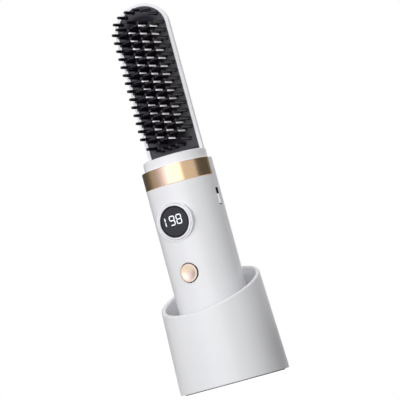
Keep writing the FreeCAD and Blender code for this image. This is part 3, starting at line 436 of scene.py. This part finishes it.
def off_centre(material, centre):
    """Distance of Object coordinates from an axis along y through a centre."""
    tree = material.node_tree
    place = tree.nodes.new("ShaderNodeTexCoord")
    source = place.outputs["Object"]
    for operation, by in (("SUBTRACT", centre), ("MULTIPLY", (1.0, 0.0, 1.0))):
        step = tree.nodes.new("ShaderNodeVectorMath")
        step.operation = operation
        step.inputs[1].default_value = by
        tree.links.new(source, step.inputs[0])
        source = step.outputs["Vector"]
    reach = tree.nodes.new("ShaderNodeVectorMath")
    reach.operation = "LENGTH"
    tree.links.new(source, reach.inputs[0])
    return reach.outputs["Value"]


def rising(material, value, start, full):
    """Mask that goes smoothly from none at one value to all at another."""
    tree = material.node_tree
    fade = tree.nodes.new("ShaderNodeMapRange")
    fade.interpolation_type = "SMOOTHSTEP"
    fade.inputs["From Min"].default_value = start
    fade.inputs["From Max"].default_value = full
    tree.links.new(value, fade.inputs["Value"])
    return fade.outputs["Result"]


def tint_where(material, mask, colour):
    """Lays a colour over a material's own by a mask."""
    tree = material.node_tree
    base = shader_of(material).inputs["Base Color"]
    tree.links.new(colour_between(tree, mask, base.links[0].from_socket, (*colour, 1.0)), base)


bezel_white = moulded("gloss white bezel", (0.90, 0.90, 0.905), (0.885, 0.885, 0.895), 0.2)
dress(bezel_white, "display_bezel")

lens_low, lens_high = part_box("display_lens")
lens_centre = (lens_low + lens_high) / 2
lens_radius = (lens_high.x - lens_low.x) / 2
border_width = 0.0011
border_fade = border_width * 0.4  # softness of the border's edge, to each side
border_edge = lens_radius - border_width
lens_smoke = moulded(
    "smoked window",
    (0.030, 0.030, 0.031),
    (0.034, 0.034, 0.035),
    0.10,
    grain_scale=400.0,
    bump_height=0.000001,
)
shader_of(lens_smoke).inputs["Specular IOR Level"].default_value = 0.25
border_mask = rising(
    lens_smoke, off_centre(lens_smoke, lens_centre), border_edge - border_fade, border_edge + border_fade
)
tint_where(lens_smoke, border_mask, (0.004, 0.004, 0.004))
dress(lens_smoke, "display_lens")

part_black = moulded("black component moulding", (0.02, 0.02, 0.021), (0.028, 0.028, 0.028), 0.5)
dress(part_black, "display_module", "tact_switch", "tact_plunger", "thermal_cutout")

digit_height = 0.0064
digit_pitch = 0.00485
digit_bar = 0.00072           # width of one lit bar
digit_bar_depth = 0.00006
digit_bar_gap = 0.0004        # between the ends of two bars
digit_corner = digit_bar * 0.36
digit_step = (digit_height - digit_bar) / 2
digit_half = 0.0016           # from a digit's middle to its upright bars
digit_centre = lens_centre + Vector((-0.0015, 0.0, 0.0010))
digit_front = lens_low.y
digit_glow_strength = 0.36


def lit_bar(name, wide, tall):
    """One lit bar of a digit, with its corners rounded."""
    bar = block(name, (wide, digit_bar_depth, tall))
    pick_edges(bar, lambda start, end: abs(start.y - end.y) > digit_bar_depth / 2)
    bpy.ops.mesh.bevel(offset=digit_corner, segments=2)
    bpy.ops.object.mode_set(mode="OBJECT")
    return bar


upright_bar = lit_bar("upright bar", digit_bar, digit_step - digit_bar_gap)
level_bar = lit_bar("level bar", digit_half * 2 - digit_bar_gap, digit_bar)
# Each row is a digit's cell, the side of its upright bars, their places, and its level bars' places.
figure_bars = (
    (-1, 0, (-0.5, 0.5), ()),
    (0, 1, (-0.5, 0.5), (-1.0, 0.0, 1.0)),
    (0, -1, (0.5,), ()),
    (1, 1, (-0.5, 0.5), (-1.0, 0.0, 1.0)),
    (1, -1, (-0.5, 0.5), ()),
)
upright_places = []
level_places = []
for cell, side, halves, levels in figure_bars:
    middle_x = digit_centre.x + cell * digit_pitch
    for half in halves:
        upright_places.append((middle_x + side * digit_half, digit_front, digit_centre.z + half * digit_step))
    for step in levels:
        level_places.append((middle_x, digit_front, digit_centre.z + step * digit_step))
upright_bars = copies_at(upright_bar, upright_places, "upright_bars")
level_bars = copies_at(level_bar, level_places, "level_bars")
put_away(upright_bar)
put_away(level_bar)
digits = joined([upright_bars, level_bars], "display_digits")
digit_glow = moulded("lit digits", (0.85, 0.87, 0.90), (0.80, 0.83, 0.87), 0.4, grain_scale=2500.0)
digit_tree = digit_glow.node_tree
digit_shader = shader_of(digit_glow)
digit_shader.inputs["Emission Strength"].default_value = digit_glow_strength
digit_tree.links.new(digit_tree.nodes["surface"].outputs["Colour"], digit_shader.inputs["Emission Color"])
digits.data.materials.append(digit_glow)
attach(digits, "brush")

# Power button: a moulded cap with a dished face and a satin gold electroplate, standing just proud of its
# hole. Its rim, where it turns down into the hole, is painted dark brown as the shade of the gap round it.

button_low, button_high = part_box("power_button")
button_centre = (button_low + button_high) / 2
button_radius = 0.0060
button_shade_start = button_radius * 0.945
button_shade_full = button_radius * 0.975
button_gold = metal(
    "button gold", (0.80, 0.65, 0.47), (0.77, 0.61, 0.43), 0.30, line_scale=700.0, bump_height=0.000002
)
# Painted shade: the cap's rim is darkened as the shadowed gap round the button.
button_gap_shade = rising(button_gold, off_centre(button_gold, button_centre), button_shade_start, button_shade_full)
tint_where(button_gold, button_gap_shade, (0.13, 0.09, 0.06))
dress(button_gold, "power_button")

# Slide switch: a white knob in a slot across the right-hand seam, over a folded steel switch body. The
# slider's inner part and the handle's walls round the slot are painted black as the shade down in the slot.


def axes_of(material, kind):
    """The x, y and z of a material's coordinates of a kind."""
    tree = material.node_tree
    place = tree.nodes.new("ShaderNodeTexCoord")
    axes = tree.nodes.new("ShaderNodeSeparateXYZ")
    tree.links.new(place.outputs[kind], axes.inputs["Vector"])
    return axes.outputs


def within(material, axis, centre, half_width):
    """One where the Object coordinate on an axis lies within a half width of a centre."""
    return maths(material.node_tree, "COMPARE", axes_of(material, "Object")[axis], centre, half_width)


slider_low, slider_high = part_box("switch_slider")
knob_depth = 0.0014           # white knob over the slider's inner part, which is painted black as slot shade
slider_inner_half = (slider_high.x - knob_depth) / 2
slot_shade_black = (0.02, 0.02, 0.021)
slider_white = moulded("slide knob", (0.88, 0.88, 0.89), (0.86, 0.86, 0.875), 0.3)
# Painted shade: the slider's inner part, down in the slot, is black.
tint_where(slider_white, within(slider_white, "X", slider_inner_half, slider_inner_half), slot_shade_black)
dress(slider_white, "switch_slider")

slot_half_width = 0.00162
slot_length = 0.0111
slot_margin = 0.0006          # from the slot's lower end to the slider
slot_overlap = 0.00002        # takes the slot's end walls into the painted shade
slot_half_length = slot_length / 2 + slot_overlap
slot_centre = slider_low.z - slot_margin + slot_length / 2
slot_across = within(handle_white, "Y", 0.0, slot_half_width)
slot_along = within(handle_white, "Z", slot_centre, slot_half_length)
slot_side = within(handle_white, "X", slider_high.x, slider_high.x / 2)
slot_span = maths(handle_white.node_tree, "MULTIPLY", slot_across, slot_along)
slot_shade_mask = maths(handle_white.node_tree, "MULTIPLY", slot_span, slot_side)
# Painted shade: the handle's walls round the slot are black.
tint_where(handle_white, slot_shade_mask, slot_shade_black)
strip_steel = metal("spring strip steel", (0.60, 0.60, 0.61), (0.54, 0.53, 0.52), 0.3)
dress(strip_steel, "slide_switch_body", "heater_clamp")

# Battery: two round lithium cells in shrunk blue sleeves.
# They lie side by side in a grey moulded cradle inside the handle.

cell_sleeve = moulded("cell sleeve", (0.03, 0.08, 0.20), (0.035, 0.09, 0.22), 0.28, grain_scale=900.0)
dress(cell_sleeve, "battery_cells")
cradle_grey = moulded("cradle moulding", (0.30, 0.30, 0.31), (0.27, 0.27, 0.28), 0.5)
dress(cradle_grey, "battery_cradle")

# Collar and head: white mouldings. The collar keys into the handle, the half-round shell is screwed to it,
# and the flat frame closes the shell round the comb plate, with a dark sealing lip printed along its opening.

collar_white = moulded("satin white collar", (0.88, 0.88, 0.89), (0.86, 0.86, 0.875), 0.28)
dress(collar_white, "neck_collar")
head_low, head_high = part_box("head_frame")
seam_half = 0.00022           # half of the parting line between the shell and the frame
seam_shade = (0.24, 0.24, 0.25)
head_white = moulded("satin white head", (0.88, 0.88, 0.89), (0.86, 0.86, 0.875), 0.28)
tint_where(head_white, within(head_white, "Y", head_high.y, seam_half), seam_shade)
dress(head_white, "head_rear_shell")

arch_share, arch_in, arch_out = empty_group(
    "arched outline",
    [
        ("Half Width", "NodeSocketFloat", 0.02),
        ("Arch Foot", "NodeSocketFloat", 0.2),
        ("Arch Rise", "NodeSocketFloat", 0.02),
        ("Low End", "NodeSocketFloat", 0.0),
    ],
    [("Share", "NodeSocketFloat")],
)
arch_place = arch_share.nodes.new("ShaderNodeTexCoord")
arch_axes = arch_share.nodes.new("ShaderNodeSeparateXYZ")
arch_point = arch_share.nodes.new("ShaderNodeCombineXYZ")
arch_length = arch_share.nodes.new("ShaderNodeVectorMath")
arch_length.operation = "LENGTH"
arch_above = maths(arch_share, "SUBTRACT", arch_axes.outputs["Z"], arch_in.outputs["Arch Foot"])
arch_below = maths(arch_share, "SUBTRACT", arch_in.outputs["Low End"], arch_axes.outputs["Z"])
arch_beyond = maths(arch_share, "MAXIMUM", maths(arch_share, "MAXIMUM", arch_above, arch_below), 0.0)
arch_across = maths(arch_share, "DIVIDE", arch_axes.outputs["X"], arch_in.outputs["Half Width"])
arch_up = maths(arch_share, "DIVIDE", arch_beyond, arch_in.outputs["Arch Rise"])
arch_share.links.new(arch_place.outputs["Object"], arch_axes.inputs["Vector"])
arch_share.links.new(arch_across, arch_point.inputs["X"])
arch_share.links.new(arch_up, arch_point.inputs["Y"])
arch_share.links.new(arch_point.outputs["Vector"], arch_length.inputs[0])
arch_share.links.new(arch_length.outputs["Value"], arch_out.inputs["Share"])


def arch_mask(material, half_width, low_end, arch_foot, arch_rise, start, full):
    """Mask that fades in between two shares of an arched outline."""
    outline = material.node_tree.nodes.new("ShaderNodeGroup")
    outline.node_tree = arch_share
    outline.inputs["Half Width"].default_value = half_width
    outline.inputs["Low End"].default_value = low_end
    outline.inputs["Arch Foot"].default_value = arch_foot
    outline.inputs["Arch Rise"].default_value = arch_rise
    return rising(material, outline.outputs["Share"], start, full)


dome_foot = 0.233
rim_width = 0.00225           # white rim that shows round the dark lip
rim_top = 0.0018
rim_half = (head_high.x - head_low.x) / 2 - rim_width
rim_rise = head_high.z - rim_top - dome_foot
sill_shadow_height = 0.0024
lip_inner = 0.996             # shares of the lip's outline between which its dark print ends
lip_outer = 1.004
frame_white = moulded("satin white frame", (0.05, 0.05, 0.052), (0.06, 0.06, 0.062), 0.28)
# Painted shadow: the frame's foot, under the comb plate's lower edge, is black as the contact shadow there.
tint_where(frame_white, within(frame_white, "Z", head_low.z, sill_shadow_height), (0.006, 0.006, 0.006))
rim_mask = arch_mask(frame_white, rim_half, 0.0, dome_foot, rim_rise, lip_inner, lip_outer)
tint_where(frame_white, rim_mask, (0.89, 0.89, 0.90))
tint_where(frame_white, within(frame_white, "Y", head_high.y, seam_half), seam_shade)
dress(frame_white, "head_frame")

# Comb plate: dark grey heat-proof nylon with a finely blasted face, slotted for the fins. Its field, where
# the fins come through, is painted violet-black as the shade deep among the bristles and fins.

comb_grey = moulded(
    "blasted comb nylon",
    (0.068, 0.066, 0.070),
    (0.080, 0.078, 0.083),
    0.5,
    grain_scale=2500.0,
    bump_height=0.00002,
)
shader_of(comb_grey).inputs["Specular IOR Level"].default_value = 0.2
fins_low, fins_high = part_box("heating_fins")
field_side = 0.0035           # how far the field runs past the outer columns
field_half = fins_high.x + field_side
field_end = 0.0080            # how far it runs past the end rows
field_full = 0.60             # share of the field inside which the painted shade is full
comb_field_shade = arch_mask(comb_grey, field_half, fins_low.z, fins_high.z, field_end, 1.0, field_full)
# Painted shade: the field is violet-black as the shade deep among the bristles and fins.
tint_where(comb_grey, comb_field_shade, (0.0065, 0.0042, 0.0080))
dress(comb_grey, "comb_plate")

# Heater: an aluminium spreader with a violet coat, a sintered ceramic element and its mica sheet.
# They are clamped and screwed together behind the comb plate.

heater_coat = metal("coated heat spreader", (0.16, 0.12, 0.19), (0.20, 0.14, 0.24), 0.4)
dress(heater_coat, "heater_plate")
element_ceramic = moulded("sintered ceramic", (0.82, 0.80, 0.74), (0.78, 0.75, 0.68), 0.6)
dress(element_ceramic, "heater_element")
mica = moulded("mica", (0.42, 0.34, 0.24), (0.50, 0.42, 0.32), 0.3)
dress(mica, "mica_sheet")

# Heating fins: polished aluminium blades that stand on the heater plate, their sideways faces painted pale as
# a highlight. Each ends in a black nylon cap, moulded round its tongue, to shield the skin.

highlight_facing = 0.7            # faces that look sideways by more than this share are painted pale as a highlight
fin_metal = metal(
    "polished fins", (0.60, 0.52, 0.65), (0.54, 0.46, 0.59), 0.22, line_scale=1500.0, bump_height=0.000002
)
fin_tree = fin_metal.node_tree
fin_sideways = maths(fin_tree, "ABSOLUTE", axes_of(fin_metal, "Normal")["X"])
fin_bare = maths(fin_tree, "LESS_THAN", fin_sideways, highlight_facing)
# Painted highlight: the sideways faces are near white and not metallic.
tint_where(fin_metal, maths(fin_tree, "SUBTRACT", 1.0, fin_bare), (0.94, 0.93, 0.95))
fin_tree.links.new(fin_bare, shader_of(fin_metal).inputs["Metallic"])
dress(fin_metal, "heating_fins")

bristle_nylon = moulded("bristle nylon", (0.0050, 0.0030, 0.0060), (0.0070, 0.0046, 0.0082), 0.20)
cap_low, cap_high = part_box("fin_tip_caps")
cap_width = 0.0057
cap_height = 0.0013
cap_length = cap_high.y - cap_low.y
cap_corner = 0.0003
cap_crown = 0.0005
fin_columns = 3
fin_rows = 15
fin_spacing = (cap_high.x - cap_low.x - cap_width) / (fin_columns - 1)
row_pitch = (cap_high.z - cap_low.z - cap_height) / (fin_rows - 1)
first_row = cap_low.z + cap_height / 2
fin_cap = block("fin cap", (cap_width, cap_length, cap_height), centre=(0.0, cap_low.y + cap_length / 2, 0.0))
pick_edges(fin_cap, lambda start, end: abs(start.y - end.y) > cap_length / 2)
bpy.ops.mesh.bevel(offset=cap_corner, segments=2)
pick_edges(fin_cap, lambda start, end: max(start.y, end.y) < cap_low.y + cap_length / 10)
bpy.ops.mesh.bevel(offset=cap_crown, segments=3)
smooth_below(50.0)
cap_places = []
for column in (-1, 0, 1):
    lowest = first_row + abs(column) * row_pitch / 2
    for row in range(fin_rows - abs(column)):
        cap_places.append((column * fin_spacing, 0.0, lowest + row * row_pitch))
fin_caps = copies_at(fin_cap, cap_places, "rounded_fin_caps")
put_away(fin_cap)
fin_caps.data.materials.append(bristle_nylon)
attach(fin_caps, "brush")
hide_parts("fin_tip_caps")

# Comb bristles: tapered black nylon, moulded in one with the comb plate, with a small root fillet and a
# rounded tip. They stand in four columns between the fins, staggered by quarters of the fins' row pitch.

comb_low, comb_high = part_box("comb_bristles")
bristle_root = 0.00112
bristle_neck = 0.0010
bristle_sides = 10
fillet_length = 0.0003
fillet_flare = 1.25           # foot of the fillet as a share of the root
crown_length = 0.0008         # length of the rounded tip
crown_steps = ((0.45, 0.90), (0.35, 0.74), (0.20, 0.50))  # share of the length, and of the section before it
bristle_foot = comb_high.y - fillet_length
neck_y = comb_low.y + crown_length
bpy.ops.object.select_all(action="DESELECT")
bpy.ops.mesh.primitive_cone_add(
    vertices=bristle_sides,
    radius1=bristle_root,
    radius2=bristle_neck,
    depth=bristle_foot - neck_y,
    location=(0.0, (bristle_foot + neck_y) / 2, 0.0),
    rotation=(math.radians(90.0), 0.0, 0.0),
)
bristle = settle("bristle")
pick_faces(bristle, lambda centre, normal: normal.y > end_facing)
extrude(0.0, fillet_length, 0.0)
bpy.ops.transform.resize(value=(fillet_flare, 1.0, fillet_flare), center_override=(0.0, comb_high.y, 0.0))
pick_faces(bristle, lambda centre, normal: normal.y < -end_facing)
for reach, share in crown_steps:
    extrude(0.0, -crown_length * reach, 0.0)
    bpy.ops.transform.resize(value=(share, 1.0, share), center_override=(0.0, neck_y, 0.0))
smooth_below(60.0)
outer_column = 0.01185        # from the middle to the outer columns
quarter = row_pitch / 4
bristle_columns = ((-3, 15, 1), (-1, 16, -1), (1, 15, 1), (3, 14, 3))  # thirds across, rows, quarters up
comb_places = []
for column, rows, step in bristle_columns:
    for row in range(rows):
        comb_places.append((column * outer_column / 3, 0.0, first_row + step * quarter + row * row_pitch))
comb_bristles = copies_at(bristle, comb_places, "comb_bristle_columns")
comb_bristles.data.materials.append(bristle_nylon)
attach(comb_bristles, "brush")
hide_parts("comb_bristles")

# Guard bristles: the same bristle in a row round the edge of the comb plate, along both sides, round the arch
# and across the foot, which keeps the fins off the scalp.

guard_low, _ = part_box("guard_bristles")
guard_spread = 0.01541
guard_rows = 14
arch_count = 6
arch_first = 0.19             # first arch bristle's turn from level, as a share of the half turn
arch_rise = 0.01237
corner_inset = 0.00255        # corner bristles in from the side rows
corner_rise = 0.0027          # corner bristles above the foot row
foot_rise = 0.0010            # foot row above the lowest point of its bristles
corner_spread = guard_spread - corner_inset
foot_height = guard_low.z + foot_rise
corner_height = foot_height + corner_rise
foot_count = 4
foot_pitch = 0.00527
guard_places = []
for side in (-1.0, 1.0):
    guard_places.append((side * corner_spread, 0.0, corner_height))
    for row in range(guard_rows):
        guard_places.append((side * guard_spread, 0.0, first_row + 3 * quarter + row * row_pitch))
for step in range(arch_count):
    turn = math.pi * (arch_first + (1.0 - 2.0 * arch_first) * step / (arch_count - 1))
    guard_places.append((guard_spread * math.cos(turn), 0.0, dome_foot + arch_rise * math.sin(turn)))
for step in range(foot_count):
    guard_places.append(((step - (foot_count - 1) / 2) * foot_pitch, 0.0, foot_height))
guard_bristles = copies_at(bristle, guard_places, "guard_bristle_row")
put_away(bristle)
guard_bristles.data.materials.append(bristle_nylon)
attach(guard_bristles, "brush")
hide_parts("guard_bristles")

# Floor: a wide matt table top in pale paint, on which the foot ring stands.
# The camera and mirrors see it near white, and it keeps the soft shadow of the stand.


def seen_rays(tree, *labels):
    """One where a ray is of any of the kinds named, from Light Path."""
    path = tree.nodes.new("ShaderNodeLightPath")
    seen = path.outputs[labels[0]]
    for label in labels[1:]:
        seen = maths(tree, "MAXIMUM", seen, path.outputs[label])
    return seen


floor_size = 12.0
floor_glow_strength = 0.80
bpy.ops.object.select_all(action="DESELECT")
bpy.ops.mesh.primitive_plane_add(size=floor_size, location=(0.0, 0.0, 0.0))
floor = bpy.context.object
floor.name = "floor"
floor_paint = bpy.data.materials.new("pale floor")
floor_paint.use_nodes = True
floor_tree = floor_paint.node_tree
floor_shader = shader_of(floor_paint)
floor_shader.inputs["Base Color"].default_value = (0.30, 0.30, 0.30, 1.0)
floor_shader.inputs["Roughness"].default_value = 0.9
floor_seen = seen_rays(floor_tree, "Is Camera Ray", "Is Glossy Ray", "Is Transmission Ray")
floor_glow = floor_tree.nodes.new("ShaderNodeEmission")
floor_glow.inputs["Color"].default_value = (1.0, 1.0, 1.0, 1.0)
floor_tree.links.new(
    maths(floor_tree, "MULTIPLY", floor_seen, floor_glow_strength), floor_glow.inputs["Strength"]
)
floor_sum = floor_tree.nodes.new("ShaderNodeAddShader")
floor_tree.links.new(floor_shader.outputs["BSDF"], floor_sum.inputs[0])
floor_tree.links.new(floor_glow.outputs["Emission"], floor_sum.inputs[1])
floor_tree.links.new(floor_sum.outputs["Shader"], floor_tree.nodes["Material Output"].inputs["Surface"])
floor.data.materials.append(floor_paint)

# Surround: an even dim studio that lights the brush from all round, white where the camera sees it.
# Reflections see its walls by bearing: a pale backdrop behind, dark flags at the sides, and a softbox in
# front that fades to the left and ends sharply at the right, beside a pale wall.

surround = bpy.data.worlds.new("studio surround")
bpy.context.scene.world = surround
surround.use_nodes = True
sky_tree = surround.node_tree
sky = sky_tree.nodes["Background"]
sky.inputs["Color"].default_value = (0.96, 0.97, 1.0, 1.0)
sky.inputs["Strength"].default_value = 0.485
white_sky = sky_tree.nodes.new("ShaderNodeBackground")
white_sky.inputs["Color"].default_value = (1.0, 1.0, 1.0, 1.0)
white_sky.inputs["Strength"].default_value = 1.0

# Bearing in degrees, from straight in front and growing towards +X, and level as a share of the brightest.
wall_levels = (
    (-180.0, 0.38), (-156.0, 0.38), (-142.0, 0.05), (-106.0, 0.04), (-85.0, 0.075), (-69.0, 0.175),
    (-55.0, 0.21), (-43.0, 0.27), (-31.0, 0.40), (-20.0, 0.58), (-9.0, 0.86), (-2.0, 1.0), (31.0, 1.0),
    (40.0, 0.40), (46.0, 0.34), (74.0, 0.33), (83.0, 0.29), (91.0, 0.08), (104.0, 0.045), (142.0, 0.04),
    (156.0, 0.26), (180.0, 0.30),
)
wall_strength = 2.4
cool_from = -45.0             # the left wall is a cooler white between these bearings
cool_to = -5.0
cool_blue = 1.35
wall_way = sky_tree.nodes.new("ShaderNodeTexCoord")
wall_parts = sky_tree.nodes.new("ShaderNodeSeparateXYZ")
sky_tree.links.new(wall_way.outputs["Generated"], wall_parts.inputs["Vector"])
wall_front = maths(sky_tree, "MULTIPLY", wall_parts.outputs["Y"], -1.0)
wall_bearing = maths(sky_tree, "ARCTAN2", wall_parts.outputs["X"], wall_front)
wall_share = sky_tree.nodes.new("ShaderNodeMapRange")
wall_share.inputs["From Min"].default_value = -math.pi
wall_share.inputs["From Max"].default_value = math.pi
sky_tree.links.new(wall_bearing, wall_share.inputs["Value"])
wall_ramp = sky_tree.nodes.new("ShaderNodeValToRGB")
wall_stops = wall_ramp.color_ramp.elements
while len(wall_stops) < len(wall_levels):
    wall_stops.new(0.5)
for stop, (bearing, level) in zip(wall_stops, wall_levels):
    stop.position = (bearing + 180.0) / 360.0
    blue = level * cool_blue if cool_from < bearing < cool_to else level
    stop.color = (level, level, blue, 1.0)
walls = sky_tree.nodes.new("ShaderNodeBackground")
walls.inputs["Strength"].default_value = wall_strength
sky_tree.links.new(wall_share.outputs["Result"], wall_ramp.inputs["Fac"])
sky_tree.links.new(wall_ramp.outputs["Color"], walls.inputs["Color"])


def choose_sky(share, under, over):
    """One sky or another, by a share."""
    mix = sky_tree.nodes.new("ShaderNodeMixShader")
    sky_tree.links.new(share, mix.inputs["Fac"])
    sky_tree.links.new(under, mix.inputs[1])
    sky_tree.links.new(over, mix.inputs[2])
    return mix.outputs["Shader"]


seen_sky = choose_sky(
    seen_rays(sky_tree, "Is Camera Ray", "Is Transmission Ray"),
    sky.outputs["Background"],
    white_sky.outputs["Background"],
)
whole_sky = choose_sky(seen_rays(sky_tree, "Is Glossy Ray"), seen_sky, walls.outputs["Background"])
sky_tree.links.new(whole_sky, sky_tree.nodes["World Output"].inputs["Surface"])

# Lamps: a wide softbox in front, a weak fill at the left, a stronger one behind, and a small lamp from the
# right that only the fins receive. A black flag, which camera and mirrors do not see, keeps bounced light
# off the right of the stand's foot.

lamp_aim = Vector((0.0, 0.0, 0.13))


def softbox(name, bearing, height, distance, width, tall, power):
    """Area light that faces the brush. Reflections see the surround's own softbox instead."""
    turn = math.radians(bearing)
    place = Vector((math.sin(turn) * distance, -math.cos(turn) * distance, height))
    bpy.ops.object.light_add(type="AREA", location=place)
    lamp = bpy.context.object
    lamp.name = name
    lamp.data.shape = "RECTANGLE"
    lamp.data.size = width
    lamp.data.size_y = tall
    lamp.data.energy = power
    lamp.rotation_euler = (lamp_aim - place).to_track_quat("-Z", "Y").to_euler()
    lamp.visible_camera = False
    lamp.visible_glossy = False
    return lamp


softbox("front softbox", bearing=8.0, height=0.40, distance=1.0, width=1.30, tall=1.10, power=9.5)
softbox("left fill", bearing=-82.0, height=0.30, distance=1.0, width=0.60, tall=0.90, power=1.6)
softbox("rear fill", bearing=200.0, height=0.45, distance=1.0, width=0.80, tall=0.90, power=7.0)
edge_light = softbox(
    "comb edge light", bearing=62.0, height=0.32, distance=0.7, width=0.30, tall=0.40, power=7.0
)
lit_comb = bpy.data.collections.new("comb in the edge light")
lit_comb.objects.link(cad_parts["heating_fins"])
edge_light.light_linking.receiver_collection = lit_comb

flag_place = (0.054, 0.022, 0.018)
flag_turn = (0.0, math.radians(90.0), math.radians(22.0))
flag_size = (0.036, 0.090, 1.0)
bpy.ops.mesh.primitive_plane_add(size=1.0, location=flag_place, rotation=flag_turn)
flag = bpy.context.object
flag.name = "black flag"
flag.scale = flag_size
flag_black = moulded("flag cloth", (0.01, 0.01, 0.01), (0.012, 0.012, 0.012), 0.9)
flag.data.materials.append(flag_black)
flag.visible_camera = False
flag.visible_glossy = False
flag.visible_shadow = False

# Camera: a long lens close to the table's height, to the right of the front.
# It is rolled so that the brush leans to the left in the picture.

camera_bearing = math.radians(26.0)
camera_roll = math.radians(15.2)
camera_distance = 1.535
camera_height = 0.006
camera_lens = 218.0
aim_height = 0.1176
aim_right = 0.0086
toward_camera = Vector((math.sin(camera_bearing), -math.cos(camera_bearing), 0.0))
across = Vector((math.cos(camera_bearing), math.sin(camera_bearing), 0.0))
upright = Vector((0.0, 0.0, 1.0))
aim = across * aim_right + upright * aim_height
eye = toward_camera * camera_distance + across * aim_right + upright * camera_height
ahead = (aim - eye).normalized()
level_right = ahead.cross(upright).normalized()
level_up = level_right.cross(ahead)
tilted_up = level_up * math.cos(camera_roll) + level_right * math.sin(camera_roll)
tilted_right = level_right * math.cos(camera_roll) - level_up * math.sin(camera_roll)
turned = Matrix((tilted_right, tilted_up, -ahead)).transposed().to_4x4()
bpy.ops.object.camera_add()
camera = bpy.context.object
camera.name = "camera"
camera.matrix_world = Matrix.Translation(eye) @ turned
camera.data.sensor_width = 36.0
camera.data.lens = camera_lens
camera.data.clip_end = 50.0
bpy.context.scene.camera = camera
bpy.context.scene.view_settings.view_transform = "Standard"

bpy.context.view_layer.update()
